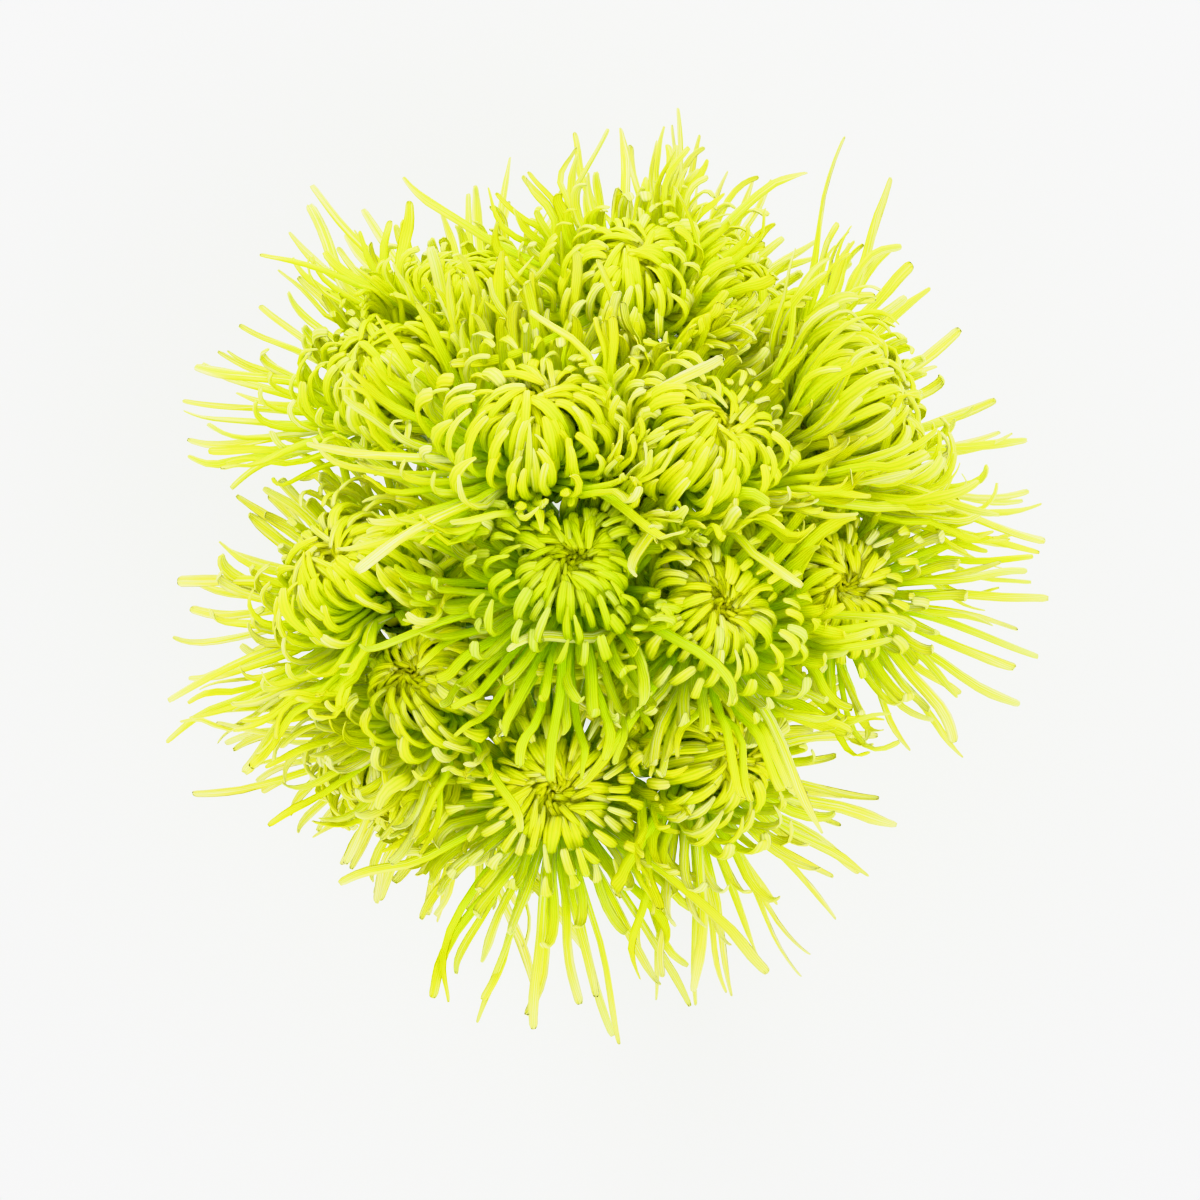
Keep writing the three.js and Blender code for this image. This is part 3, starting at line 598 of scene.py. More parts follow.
def floret_shapes(florets, bloom):
    """Vertices, UVs and tones of all florets of a bloom."""
    rank, width = florets["rank"][:, None], florets["width"][:, None]
    across = florets["across"][:, None]
    way, wave, flaring, breadth, opening, whether, ragged, tint, bluntness, aside, inward = (
        florets["draws"][:, k, None] for k in range(FIRST_SHAPE_DRAW, DRAWS_PER_FLORET))
    t = RING_SHARES[None, :]
    points = resample(florets["paths"])
    tangent = unit(np.gradient(points, axis=1))

    # the ends curl to one side, some more than others
    loose = rise(rank, *LOOSE_RANKS)
    free = loose * np.maximum(0.0, (t - CURLED[0]) / CURLED[1]) ** 2
    ahead = np.cross(across, tangent)
    points = points + across * (CURL * (aside * 2 - 1) ** 3 * free)[..., None]
    points = points - ahead * (CURL * (inward * 1.6 - 0.6) * free)[..., None]

    # and the whole floret wavers
    sway = WOBBLE * rise(t, *WAVERING) * loose * np.sin(math.tau * ((0.8 + way) * t + wave))
    points = resample(keep_in_box(points + across * sway[..., None]))
    tangent = unit(np.gradient(points, axis=1))
    side = unit(across - tangent * (tangent * across).sum(axis=2, keepdims=True))
    normal = np.cross(tangent, side)

    # slow twist along the floret, mostly near its tip
    twist = (way * 2 - 1) * (0.3 + 0.9 * wave) * t ** 2
    cos, sin = np.cos(twist)[..., None], np.sin(twist)[..., None]
    side, normal = side * cos + normal * sin, normal * cos - side * sin

    # narrow root, even middle, slightly wider end that closes in a blunt round tip
    grow = 0.5 + 0.5 * rise(t, *WIDENING)
    flare = 1 + 0.4 * rise(t, *FLARED) * (flaring ** 1.5)
    blunt = 1 - (0.1 + 0.6 * bluntness ** 1.5) * rise(t, *BLUNT) ** 1.5
    blunt[:, -1] = blunt[:, -1] * 0.8
    scale = 0.7 + 0.3 * bloom["size"]
    half = width / 2 * (0.75 + 0.45 * breadth) * grow * flare * blunt * scale
    depth = np.minimum(FLORET_DEPTH, 0.8 * width) / 2 * grow * scale
    depth = depth * (1 - 0.25 * rise(t, *FLATTER)) * blunt
    opened = smooth((t - (0.6 + 0.32 * opening)) / OPENING_LENGTH) * (whether < OPEN_SHARE)

    section = []
    for angle in UNDER_ANGLES:
        section.append((half * math.cos(angle), depth * math.sin(angle) * (1 + 0.3 * opened)))
    for place in UPPER_PLACES:
        closed_top = depth * (1 - 0.35 * place * place)
        open_top = -depth * 1.3 * math.sqrt(1 - place * place) + 0.3
        section.append((half * place, closed_top * (1 - opened) + open_top * opened))
    vertices = np.stack(
        [points + side * x[..., None] + normal * y[..., None] for x, y in section], axis=2)
    vertices[:, -1] += tangent[:, -1, None] * TEETH[:, None] * (0.3 + 1.1 * ragged)[..., None]

    # each end closes in a point: the root's inside the head, the tip's just ahead of its ring
    count = len(points)
    tip = points[:, -1] + tangent[:, -1] * TIP_AHEAD
    ends = [points[:, 0, None], tip[:, None]]
    vertices = np.concatenate([vertices.reshape(count, -1, 3), *ends], axis=1)
    ring_uv = np.stack(np.broadcast_arrays(SECTION_U, RING_SHARES[:, None]), axis=2)
    uv = np.concatenate([ring_uv.reshape(-1, 2), END_UVS])
    uv = np.broadcast_to(uv, (count, *uv.shape))

    # tone: a shade, random from floret to floret, lower in the blooms of painted shade and over 1 in the
    # blooms of painted light; how far out the row is; and how open the floret is there
    shade = 1 - bloom["green"] - (0.45 - 0.3 * bloom["green"]) * tint
    if bloom["pale"]:
        shade = 1 + bloom["pale"] * (1 - 0.3 * tint)
    # florets pressed between blooms, where shade falls, get less of the outer florets' pale and of the
    # open tips' pale: painted shade
    free_end = 1 - np.minimum(1.0, 2.5 * florets["pressed"])[:, None]
    outer = np.clip(rank / 10 * (0.45 + 0.55 * free_end) + 0.45 * (inward ** 2 - 0.25), 0.0, 1.0)
    open_part = np.zeros((count, RINGS, SIDES))
    open_part[:, :, len(UNDER_ANGLES):] = (opened * (0.3 + 0.7 * free_end))[..., None]
    open_part = np.concatenate([open_part.reshape(count, -1), np.zeros((count, 2))], axis=1)
    tone = np.stack(np.broadcast_arrays(shade, outer, open_part), axis=2)
    return vertices, uv, tone


FLORET_FACES = tube_faces(RINGS, SIDES)


# ---- tubes and blades

def carry_frames(points, first):
    """Two directions across a path at each point, that don't turn about it."""
    tangents = unit(np.gradient(points, axis=0))
    across = np.empty_like(points)
    for k, tangent in enumerate(tangents):
        first = unit(first - tangent * (first @ tangent))
        across[k] = first
    return across, np.cross(tangents, across)


def rings_round(points, radii, first):
    """Rings of points round a path, with a radius for each ring and side."""
    across, other = carry_frames(points, first)
    spread = swing(across[:, None], other[:, None], angles_round(radii.shape[1]))
    return points[:, None] + spread * radii[..., None]


def through(places, count):
    """Smooth path through a few places."""
    places = np.array(places, dtype=float)
    ends = np.concatenate([[2 * places[0] - places[1]], places, [2 * places[-1] - places[-2]]])
    path = []
    for value in np.linspace(0, len(places) - 1, count):
        k = min(int(value), len(places) - 2)
        t = value - k
        a, b, c, d = ends[k:k + 4]
        square, cube = 2 * a - 5 * b + 4 * c - d, 3 * b - a - 3 * c + d
        path.append(0.5 * (2 * b + (c - a) * t + square * t ** 2 + cube * t ** 3))
    return np.array(path)


class Builder:
    """Collects closed parts of one piece: points, triangles, UVs and tones."""

    def __init__(self):
        """Nothing collected yet."""
        self.parts, self.count = [], 0

    def add(self, points, faces, uv, tone):
        """Add one closed part, with its faces turned out."""
        corners = points[faces]
        volume = (corners[:, 0] * np.cross(corners[:, 1], corners[:, 2])).sum()
        if volume < 0:
            faces = faces[:, ::-1]
        self.parts.append((points, faces + self.count, uv, tone))
        self.count += len(points)

    def add_tube(self, rings, shade):
        """A tube with flat ends: u runs round it, and v along it in mm."""
        count, sides = rings.shape[:2]
        middles = rings.mean(axis=1)
        points = np.concatenate([rings.reshape(-1, 3), middles[[0, -1]]])
        v = walked(middles)
        u = np.arange(sides) / sides
        uv = np.stack([np.tile(u, count), np.repeat(v, sides)], axis=1)
        uv = np.concatenate([uv, [[0.5, v[0]], [0.5, v[-1]]]])
        tone = np.zeros((len(points), 3))
        tone[:, 0] = shade
        tone[-2:, 2] = 1.0
        self.add(points, tube_faces(count, sides), uv, tone)

    def add_blade(self, upper, lower, uv, shade):
        """A thin closed blade from two grids of points."""
        rows, columns = upper.shape[:2]
        grid = np.arange(rows * columns).reshape(rows, columns)
        sheet = np.stack([grid[:-1, :-1], grid[:-1, 1:], grid[1:, 1:], grid[1:, :-1]], axis=-1)
        sheet = sheet.reshape(-1, 4)
        rim = np.concatenate([grid[0, :-1], grid[:-1, -1], grid[-1, :0:-1], grid[:0:-1, 0]])
        next_rim = np.roll(rim, -1)
        size = grid.size
        wall = np.stack([next_rim, rim, rim + size, next_rim + size], axis=-1)
        quads = np.concatenate([sheet, sheet[:, ::-1] + size, wall])
        points = np.concatenate([upper.reshape(-1, 3), lower.reshape(-1, 3)])
        tone = np.zeros((len(points), 3))
        tone[:, 0] = shade
        tone[size:, 1] = 1.0
        uv = np.tile(uv.reshape(-1, 2), (2, 1))
        self.add(points, triangles(quads), uv, tone)

    def piece(self, name, material, replaced, slot):
        """All the parts as one mesh piece that stands for a node of the solids."""
        vertices, faces, uv, tone = (np.concatenate(arrays) for arrays in zip(*self.parts))
        loops = faces.ravel()
        mesh = bpy.data.meshes.new(name)
        mesh.vertices.add(len(vertices))
        mesh.vertices.foreach_set("co", ((vertices + OFFSET) * MM).astype(np.float32).ravel())
        mesh.loops.add(len(loops))
        mesh.loops.foreach_set("vertex_index", loops.astype(np.int32))
        mesh.polygons.add(len(faces))
        mesh.polygons.foreach_set("loop_start", np.arange(0, len(loops), 3, dtype=np.int32))
        mesh.update()
        mesh.validate()
        mesh.polygons.foreach_set("use_smooth", np.ones(len(mesh.polygons), dtype=bool))
        layer = mesh.uv_layers.new(name="along")
        layer.data.foreach_set("uv", uv[loops].astype(np.float32).ravel())
        colors = mesh.color_attributes.new(name="tone", type="FLOAT_COLOR", domain="POINT")
        rgba = np.column_stack([tone, np.ones(len(tone))])
        colors.data.foreach_set("color", rgba.astype(np.float32).ravel())
        mesh.materials.append(material)
        piece = add_object(name, mesh)
        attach(piece, "root")
        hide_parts(replaced)


# ---- blooms

def receptacle_rings(bloom):
    """Rings of the small cone that the florets of a bloom grow from."""
    height, radius = np.array(RECEPTACLE).T
    height[0] = -CORE_SINK / bloom["size"]
    points = bloom["base"] + bloom["axis"] * (height * bloom["size"])[:, None]
    wave = RECEPTACLE_WAVE * np.cos(RECEPTACLE_WAVES * angles_round(RECEPTACLE_SIDES))
    radii = radius[:, None] * bloom["size"] * (1 + wave)
    return rings_round(points, radii, bloom["front"])


def make_bloom_piece(bloom, material):
    """All florets of a bloom and its receptacle as one piece."""
    vertices, uv, tone = floret_shapes(grow_florets(bloom), bloom)
    count, per_floret = vertices.shape[:2]
    builder = Builder()
    faces = (FLORET_FACES + per_floret * np.arange(count)[:, None, None]).reshape(-1, 3)
    builder.add(vertices.reshape(-1, 3), faces, uv.reshape(-1, 2), tone.reshape(-1, 3))
    builder.add_tube(receptacle_rings(bloom), RECEPTACLE_SHADE)
    builder.piece("florets_" + bloom["number"], material, "bloom_" + bloom["number"], "floret")


# ---- stems, calyxes and leaves

def stem_rings(bloom, route, random):
    """Rings of a ribbed stem, with the scars of its stripped leaves, up into its calyx."""
    shares = np.concatenate([[0.0, 0.0015], np.linspace(0.01, 1, STRAIGHT_RINGS, endpoint=False)])
    straight = route["foot"] + (route["curve"][0] - route["foot"]) * shares[:, None]
    curved = bezier(route["curve"], np.linspace(0, 1, CURVED_RINGS))
    depths, cup_radii = np.array(CALYX_RINGS).T
    points = np.concatenate([straight, curved, [under_core(bloom, depth) for depth in depths]])
    stem_height = np.concatenate([straight[:, 2], curved[:, 2]])
    heights = [0, TIE_Z - UNDER_TIE, TIE_Z, max(stem_height)]
    radius = np.interp(stem_height, heights, STEM_RADII)
    radius = np.concatenate([radius, cup_radii * bloom["size"]])
    angles = angles_round(STEM_SIDES)
    radii = radius[:, None] * (1 + RIB_DEPTH * np.cos(STEM_RIBS * angles))
    for scar in range(SCARS["count"]):
        height = SCARS["first"] + SCARS["spacing"] * scar + random.uniform(-7, 7)
        turn = SCARS["turn"] * scar + random.uniform(-0.4, 0.4)
        near = np.exp(-((points[:, 2] - height) / SCARS["half_height"]) ** 2)
        radii = radii + SCARS["depth"] * near[:, None] * np.maximum(0.0, np.cos(angles - turn)) ** 3
    rings = rings_round(points, radii, route["outward"])
    rings[0] -= route["direction"] * (rings[0, :, 2:] / route["direction"][2])
    rings[1] = rings[0] + route["direction"] * CUT_EDGE
    return rings


def add_bracts(builder, bloom, random):
    """Overlapping scales in rows round a calyx."""
    t = np.linspace(0, 1, BRACT_GRID[0])[:, None]
    across = np.linspace(-1, 1, BRACT_GRID[1])[None, :]
    depths, cup_radii = np.array(CALYX_RINGS)[::-1].T
    size = bloom["size"]
    for row, (count, row_depth, length) in enumerate(BRACT_ROWS):
        for k in range(count):
            middle = (k + 0.5 * (row % 2) + random.uniform(-0.1, 0.1)) / count * math.tau
            depth = row_depth - length * random.uniform(0.9, 1.1) * t
            half = BRACT_HALF_WIDTH * np.sqrt(1 - 0.94 * t ** 2.4) * (0.6 + 0.5 * t)
            radius = np.interp(depth, depths, cup_radii) + 0.25 + 0.6 * t ** 2 - 0.3 * across ** 2
            turn = middle + half * across / np.maximum(radius, 2.5)
            outward = swing(bloom["front"], bloom["side"], turn)
            below = -(CORE_SINK + TOUCH_GAP) - depth * size
            on_axis = bloom["base"] + bloom["axis"] * below[..., None]
            upper = on_axis + outward * (radius * size)[..., None]
            lower = on_axis + outward * ((radius - BRACT_THICKNESS) * size)[..., None]
            uv = np.stack(np.broadcast_arrays(across * half, t * length), axis=-1)
            builder.add_blade(upper, lower, uv, random.uniform())


def make_stem_piece(bloom, route, material):
    """Stem and calyx of one bloom."""
    random = np.random.default_rng(100 + bloom["index"])
    builder = Builder()
    builder.add_tube(stem_rings(bloom, route, random), random.uniform())
    add_bracts(builder, bloom, random)
    builder.piece("stalk_" + bloom["number"], material, "stem_" + bloom["number"], "stem")


def stem_at(route, height):
    """Middle of a stem at a height above the tie."""
    path = np.concatenate([[route["middle"]], bezier(route["curve"], np.linspace(0, 1, 60))])
    return looked_up(height, path[:, 2], path)


def make_leaf_piece(under, height, turn, material):
    """One lobed, toothed and arched leaf on its stalk."""
    bloom = blooms[under]
    random = np.random.default_rng(200 + under)
    start = stem_at(routes[under], height)
    outward, across = compass(math.atan2(bloom["base"][1], bloom["base"][0]) + math.radians(turn))

    t = np.linspace(0, 1, LEAF_GRID[0])[:, None]
    s = np.linspace(-1, 1, LEAF_GRID[1])[None, :]
    half = np.interp(t, *np.array(LEAF_OUTLINE).T)
    tooth = LEAF_TOOTH_SIZE * np.sin(math.tau * (t * LEAF_TEETH + 0.13 * s))
    y = half * (1 + tooth * rise(half, 2, 4)) * s * (1 + random.uniform(-0.04, 0.04))
    x = LEAF_LENGTH * t + LEAF_SWEEP * (np.abs(y) / LEAF_WIDEST) ** 1.5 * (1 - t)
    share = x / LEAF_LENGTH
    climb = LEAF_LENGTH * (LEAF_RISE * share - LEAF_ARCH * share ** 2)
    slope = LEAF_RISE - 2 * LEAF_ARCH * share
    normal = unit(UP - outward * slope[..., None])
    vein = np.cos(math.tau * (x - LEAF_VEIN_SLANT * np.abs(y)) / LEAF_VEIN_SPACING)
    sunk = LEAF_VEIN_DEPTH * np.maximum(0.0, vein) ** 3 * rise(np.abs(y), 0, 3)
    bulge = -LEAF_FOLD * np.abs(y) - sunk
    bulge = bulge + 0.5 * np.sin(x / 3.1 + 5 * np.sign(s)) * (np.abs(y) / LEAF_WIDEST) ** 2
    upper = (
        start + outward * x[..., None] + across * y[..., None]
        + UP * climb[..., None] + normal * bulge[..., None]
    )
    thickness = LEAF_THICKNESS * (1 - 0.55 * np.abs(s)) * (1 + 1.2 * smooth((0.2 - t) / 0.1))
    lower = upper - normal * thickness[..., None]
    builder = Builder()
    builder.add_blade(upper, lower, np.stack([y, x], axis=-1), random.uniform())
    builder.piece("leaf_" + bloom["number"], material, "stem_" + bloom["number"], "stem")


# ---- tie

def add_twine(builder, path, radius, lay=TWINE_LAY, spread=1.0):
    """Twisted plies along a path; spread is how far apart they are at each point."""
    across, other = carry_frames(path, UP)
    ply = radius * PLY_SHARE
    for k in range(TWINE_PLIES):
        turn = math.tau * (k / TWINE_PLIES + walked(path) / lay)
        reach = (radius - ply) * spread
        offset = across * (reach * np.cos(turn))[:, None] + other * (reach * np.sin(turn))[:, None]
        radii = np.full((len(path), PLY_SIDES), ply)
        builder.add_tube(rings_round(path + offset, radii, UP), k / TWINE_PLIES)


def add_fibre(builder, start, direction, length, radius, random):
    """One loose fibre that bends as it goes."""
    bend = unit(np.cross(direction, random.normal(size=3))) * random.uniform(0.1, 0.5)
    t = np.linspace(0, 1, 5)[:, None]
    path = start + (direction * t + bend * t ** 2) * length
    radii = radius * (1 - 0.5 * t) * np.ones((1, 3))
    builder.add_tube(rings_round(path, radii, np.array([0.3, 0.5, 0.8])), random.uniform())


def coil_path(inside):
    """Turns of twine round the stems, each a step above the one before."""
    turns = np.linspace(0, TWINE_TURNS, COIL_POINTS)
    step_up = np.floor(turns) + rise(turns % 1, 0.93, 0.07)
    angle = turns * math.tau - math.pi / 2
    radius = inside + TWINE / 2 - 0.15 + 0.12 * np.sin(angle * 3 + step_up)
    height = TIE_Z - TWINE * TWINE_TURNS / 2 + TWINE / 2 + np.minimum(step_up, TWINE_TURNS - 1) * TWINE
    return np.stack([radius * np.cos(angle), radius * np.sin(angle), height], axis=1)


def knot_path(knot):
    """Loop of twine that passes through itself three times."""
    loop = np.linspace(0, math.tau, KNOT_POINTS)
    trefoil = np.stack([
        (np.sin(loop) + 2 * np.sin(2 * loop)) / 3,
        -np.sin(3 * loop),
        (np.cos(loop) - 2 * np.cos(2 * loop)) / 3,
    ], axis=1)
    return knot + trefoil * KNOT_SIZE


def make_tie_piece(material):
    """Twine wound round the stems, its knot, two tails and loose fibres."""
    random = np.random.default_rng(300)
    slant = math.tan(math.radians(STEM_RINGS["outer"]["slant"]))
    stem_reach = math.hypot(STEM_RINGS["outer"]["radius"], TWINE * TWINE_TURNS / 2 * slant) + STEM_RADIUS
    inside = (stem_reach + TOUCH_GAP) / math.cos(math.pi / TIE_SEGMENTS)
    builder = Builder()
    coil = coil_path(inside)
    add_twine(builder, coil, TWINE / 2 - 0.05)
    knot = np.array([0.0, -(inside + TWINE * 0.9), TIE_Z])
    add_twine(builder, knot_path(knot), KNOT_TWINE_RADIUS)

    for side in (-1, 1):
        tail = through(knot + TAIL * [side, 1, 1], TAIL_POINTS)
        frayed = 1 + 0.6 * rise(np.linspace(0, 1, TAIL_POINTS), 0.85, 0.15)
        add_twine(builder, tail, TAIL_RADIUS, TAIL_LAY, frayed)
        for _ in range(FIBRES_PER_TAIL):
            direction = unit(random.normal(size=3) * 0.28 - UP)
            start = tail[-1] + random.normal(size=3) * 0.35
            add_fibre(builder, start, direction, random.uniform(2, 4.5), FIBRE_RADIUS, random)

    for _ in range(FUZZ_FIBRES):
        place = coil[random.integers(len(coil))]
        outward = unit(place * [1, 1, 0])
        around = np.cross(UP, outward)
        lean = random.normal()
        direction = unit(outward * 0.5 + around * lean + UP * random.normal() * 0.5)
        start = place + outward * (TWINE / 2 - 0.4)
        add_fibre(builder, start, direction, random.uniform(1.5, 4), FUZZ_RADIUS, random)

    builder.piece("twine", material, "tie", "twine")


# ---- materials

BLACK = (0, 0, 0)
WHITE = (1, 1, 1)
SUBSURFACE = ("Subsurface Weight", "Subsurface Radius", "Subsurface Scale")


class Look:
    """A material in the making: its shader, and the steps that its colours come from."""

    def __init__(self, name):
        """A new material with a plain shader."""
        self.material = bpy.data.materials.new(name)
        self.material.use_nodes = True
        self.nodes, self.links = self.material.node_tree.nodes, self.material.node_tree.links
        self.shader = self.nodes["Principled BSDF"]

    def fill(self, node, inputs):
        """Link inputs of a node to the sockets given for them, or set them to the values given."""
        for key, value in inputs.items():
            socket = node.inputs[key]
            if isinstance(value, bpy.types.NodeSocket):
                self.links.new(value, socket)
            elif socket.type == "RGBA":
                socket.default_value = (*value, 1.0)
            else:
                socket.default_value = value

    def node(self, kind, inputs, **settings):
        """Outputs of a new node with these inputs and settings."""
        node = self.nodes.new("ShaderNode" + kind)
        for name, setting in settings.items():
            setattr(node, name, setting)
        self.fill(node, inputs)
        return node.outputs

    def places(self):
        """Where a point is across and along its part, from its UV."""
        uv = self.node("UVMap", {}, uv_map="along")[0]
        return self.node("SeparateXYZ", {0: uv})[:2]

    def tones(self):
        """The three tones of a point."""
        tone = self.node("Attribute", {}, attribute_name="tone")["Color"]
        return self.node("SeparateColor", {0: tone})[:3]

    def ramp(self, value, *stops):
        """Colours from a value, by (place, colour) pairs."""
        colors = self.node("ValToRGB", {0: value})[0]
        elements = colors.node.color_ramp.elements
        while len(elements) < len(stops):
            elements.new(0.5)
        for element, (place, color) in zip(elements, stops):
            element.position = place
            element.color = (*color, 1.0)
        return colors

    def rise(self, value, low, high, top=1.0):
        """Rise from 0 to the top as a value goes from low to high."""
        return self.ramp(value, (low, BLACK), (high, (top, top, top)))

    def mix(self, a, b, share, kind="MIX"):
        """Colour b over colour a by a share, blended as the kind says."""
        return self.node("Mix", {0: share, 6: a, 7: b}, data_type="RGBA", blend_type=kind)[2]

    def tint(self, a, b, share=1.0):
        """Colour a multiplied by colour b."""
        return self.mix(a, b, share, "MULTIPLY")

    def calc(self, kind, a, b=0.0):
        """Result of a mathematical step on one or two values."""
        return self.node("Math", {0: a, 1: b}, operation=kind)[0]

    def times(self, a, b):
        """Product of two values."""
        return self.calc("MULTIPLY", a, b)

    def share_of(self, wave):
        """A wave between -1 and 1, moved to between 0 and 1."""
        return self.calc("ADD", self.times(wave, 0.5), 0.5)

    def noise(self, scale, *stops, stretch=(1, 1, 1)):
        """A noise in the piece's own coordinates, and colours from it."""
        place = self.node("TexCoord", {})["Object"]
        place = self.node("Mapping", {0: place, "Scale": stretch})[0]
        noise = self.node("TexNoise", {"Vector": place, "Scale": scale, "Detail": 3.0})[0]
        return noise, self.ramp(noise, *stops)

    def finish(self, color, relief, strength, distance, settings, *glow):
        """The finished material, with its colour, relief, other settings and glow from within."""
        relief = {"Height": relief, "Strength": strength, "Distance": distance}
        normal = self.node("Bump", relief)[0]
        self.fill(self.shader, {"Base Color": color, "Normal": normal, **settings})
        self.fill(self.shader, dict(zip(SUBSURFACE, glow)))
        return self.material


def floret_material():
    """Chartreuse floret: green root, bright body, pale streaks that are partly painted highlights,
    painted highlights at its ragged end, fine ribs along it, and painted shade or light by bloom.
    """
    look = Look("floret_green")
    across, along = look.places()
    shade, outer, opened = look.tones()

    inner_color = look.ramp(
        along,
        (0, (0.42, 0.8, 0)), (0.35, (0.67, 0.92, 0)), (0.65, (0.85, 0.93, 0)),
        (0.9, (0.92, 0.92, 0.01)), (1, (0.95, 0.91, 0.05)))
    outer_color = look.ramp(
        along,
        (0, (0.44, 0.8, 0)), (0.25, (0.74, 0.92, 0)), (0.55, (0.9, 0.92, 0)),
        (0.8, (0.94, 0.91, 0.14)), (1, (0.97, 0.94, 0.46)))
    color = look.mix(inner_color, outer_color, look.rise(outer, 0.35, 0.8))

    # painted light: the blooms at the rim, whose shade is over 1, lose the green of their roots
    over_one = look.calc("MAXIMUM", look.calc("SUBTRACT", shade, 1), 0)
    color = look.mix(color, (0.87, 0.97, 0), look.times(over_one, 0.65))

    # the inside of an opened tip is pale
    color = look.mix(color, (0.94, 0.87, 0.12), look.times(opened, 0.5))

    # long pale streaks, most of them on the outer florets: partly the florets' own pale lines, partly
    # painted highlights
    place = {0: look.times(across, 9.0), 1: look.times(along, 1.6), 2: look.times(shade, 40.0)}
    place = look.node("CombineXYZ", place)[0]
    grain = look.node("TexNoise", {"Vector": place, "Scale": 1, "Detail": 2.0})[0]
    streaks = look.times(look.rise(grain, 0.49, 0.6), look.rise(outer, 0.3, 0.8, 0.9))
    color = look.mix(color, (0.97, 0.94, 0.55), streaks)

    # painted highlights on the ends, nearly white in patches
    painted_tip_highlights = look.times(look.rise(along, 0.88, 0.985), look.rise(grain, 0.4, 0.6))
    painted_tip_highlights = look.times(painted_tip_highlights, look.rise(outer, 0.1, 0.4, 0.8))
    color = look.mix(color, (0.97, 0.96, 0.5), painted_tip_highlights)

    # fine ribs along the floret
    rib = look.calc("SINE", look.times(across, math.tau * FLORET_RIBS))
    ribs = look.ramp(
        look.share_of(rib), (0, (0.8, 0.88, 0.5)), (0.5, (0.98, 0.99, 0.95)), (1, WHITE))
    color = look.tint(color, ribs)

    # each floret has its own shade at random; the blooms in painted shade are darker and greener
    shades = look.ramp(
        shade,
        (0, (0.66, 0.79, 0.3)), (0.2, (0.8, 0.92, 0.4)), (0.6, (0.97, 1, 0.9)), (1, WHITE))
    color = look.tint(color, shades)
    settings = {"Roughness": 0.24, "Specular IOR Level": 0.5, "Specular Tint": (1, 1, 0.2)}
    return look.finish(color, rib, 0.4, 0.0002, settings, 0.15, (0.8, 1, 0.1), 0.002)


def stem_material():
    """Ribbed green stem with long paler streaks, fine specks and a pale pith where it is cut."""
    look = Look("stem_green")
    across = look.places()[0]
    shade, _, pith = look.tones()
    streak, streaks = look.noise(
        260, (0.3, (0.1, 0.19, 0.03)), (0.5, (0.19, 0.31, 0.05)), (0.7, (0.3, 0.43, 0.1)),
        stretch=(1, 1, 0.06))
    specks = look.noise(1500, (0.35, (0.75, 0.8, 0.6)), (0.55, WHITE))[1]
    color = look.tint(streaks, specks, 0.6)
    color = look.mix(color, (0.62, 0.68, 0.42), look.rise(pith, 0.25, 0.5))
    color = look.tint(color, look.ramp(shade, (0, (0.85, 0.9, 0.85)), (1, (1.1, 1.1, 1))))
    ribs = look.calc("SINE", look.times(across, math.tau * STEM_SIDES))
    settings = {"Roughness": 0.55, "Specular IOR Level": 0.3}
    relief = look.calc("ADD", ribs, streak)
    return look.finish(color, relief, 0.5, 0.0002, settings, 0.15, (0.6, 1, 0.2), 0.001)


def leaf_material():
    """Deep green leaf with paler veins, a mottled upper side and a paler underside."""
    look = Look("leaf_green")
    across, along = look.places()
    shade, underside, _ = look.tones()
    mottle, color = look.noise(
        240, (0.3, (0.035, 0.095, 0.012)), (0.55, (0.07, 0.16, 0.02)), (0.75, (0.12, 0.24, 0.03)))
    far = look.calc("ABSOLUTE", across)
    slanted = look.calc("SUBTRACT", along, look.times(far, LEAF_VEIN_SLANT))
    wave = look.calc("COSINE", look.times(slanted, math.tau / LEAF_VEIN_SPACING))
    side_veins = look.rise(look.share_of(wave), 0.93, 0.99)
    midrib = look.ramp(far, (0.25, WHITE), (0.6, BLACK))
    veins = look.calc("MAXIMUM", side_veins, midrib)
    color = look.mix(color, (0.24, 0.36, 0.1), look.times(veins, 0.75))
    color = look.mix(color, (0.2, 0.3, 0.12), look.times(underside, 0.55))
    color = look.tint(color, look.ramp(shade, (0, (0.88, 0.92, 0.9)), (1, WHITE)))
    settings = {"Roughness": 0.5, "Specular IOR Level": 0.35}
    relief = look.calc("SUBTRACT", mottle, veins)
    return look.finish(color, relief, 0.6, 0.0003, settings, 0.12, (0.5, 1, 0.2), 0.001)


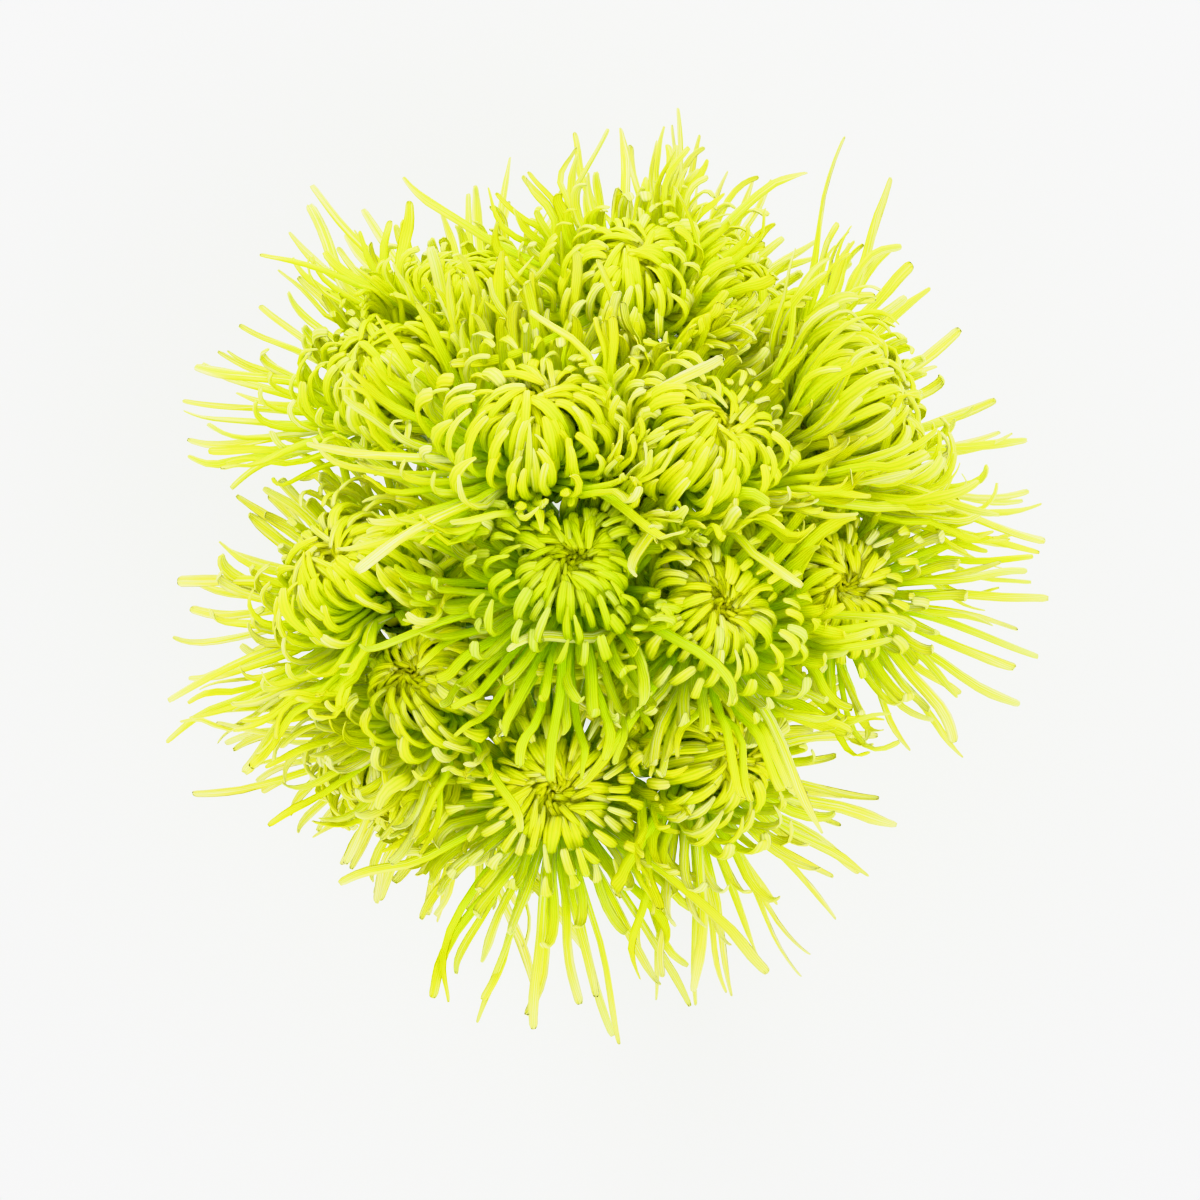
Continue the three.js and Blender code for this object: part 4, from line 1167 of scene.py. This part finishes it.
def twine_material():
    """Jute: brown fibres that run round each ply, lighter and darker in patches."""
    look = Look("jute_twine")
    across, along = look.places()
    shade = look.tones()[0]
    turn = look.calc("ADD", look.times(across, 5.0), along)
    fibres = look.calc("SINE", look.times(turn, math.tau))
    patch, color = look.noise(
        700, (0.25, (0.3, 0.2, 0.1)), (0.5, (0.52, 0.38, 0.22)), (0.75, (0.7, 0.56, 0.36)))
    color = look.tint(color, look.ramp(look.share_of(fibres), (0, (0.72, 0.68, 0.62)), (1, WHITE)))
    color = look.tint(color, look.ramp(shade, (0, (0.85, 0.84, 0.82)), (0.7, WHITE)))
    settings = {"Roughness": 0.9, "Specular IOR Level": 0.15, "Sheen Weight": 0.3}
    return look.finish(color, look.calc("ADD", fibres, patch), 0.7, 0.0002, settings)


def floor_material():
    """Pale matt table."""
    look = Look("pale_floor")
    look.fill(look.shader, {
        "Base Color": (0.95, 0.95, 0.965), "Roughness": 0.8, "Specular IOR Level": 0.1})
    return look.material


# ---- stage, light and camera

def make_floor():
    """Table top."""
    half = FLOOR_HALF * MM
    corners = [(-half, -half, 0), (half, -half, 0), (half, half, 0), (-half, half, 0)]
    mesh = bpy.data.meshes.new("floor")
    mesh.from_pydata(corners, [], [(0, 1, 2, 3)])
    mesh.materials.append(floor_material())
    floor = add_object("floor", mesh)


def make_lights():
    """Even white surroundings and two soft lights."""
    world = bpy.data.worlds.new("studio")
    world.use_nodes = True
    background = world.node_tree.nodes["Background"]
    background.inputs["Color"].default_value = (1, 1, 1, 1)
    background.inputs["Strength"].default_value = WORLD_STRENGTH
    bpy.context.scene.world = world

    for name, place, size, power in LIGHTS:
        data = bpy.data.lights.new(name, "AREA")
        data.shape = "DISK"
        data.size = size * MM
        data.energy = power
        light = add_object(name, data)
        light.location = Vector(place) * MM
        toward_bunch = Vector(LIGHTS_AIM) - Vector(place)
        light.rotation_euler = toward_bunch.to_track_quat("-Z", "Y").to_euler()


def make_camera():
    """The photograph's view."""
    data = bpy.data.cameras.new("camera")
    data.sensor_width = SENSOR_WIDTH
    data.sensor_height = SENSOR_WIDTH
    data.lens = SENSOR_WIDTH * PIXELS_PER_RADIAN / PHOTO_SIZE
    data.clip_end = 10
    camera = add_object("camera", data)
    camera.location = (OFFSET + np.array([0, 0, CAMERA_HEIGHT])) * MM
    bpy.context.scene.camera = camera


# ---- the bunch

floret_look = floret_material()
stem_look = stem_material()
leaf_look = leaf_material()
for bloom, route in zip(blooms, routes):
    make_bloom_piece(bloom, floret_look)
    make_stem_piece(bloom, route, stem_look)
for under, height, turn in LEAVES:
    make_leaf_piece(under, height, turn, leaf_look)
make_tie_piece(twine_material())

make_floor()
make_lights()
make_camera()
bpy.context.scene.view_settings.view_transform = "Khronos PBR Neutral"
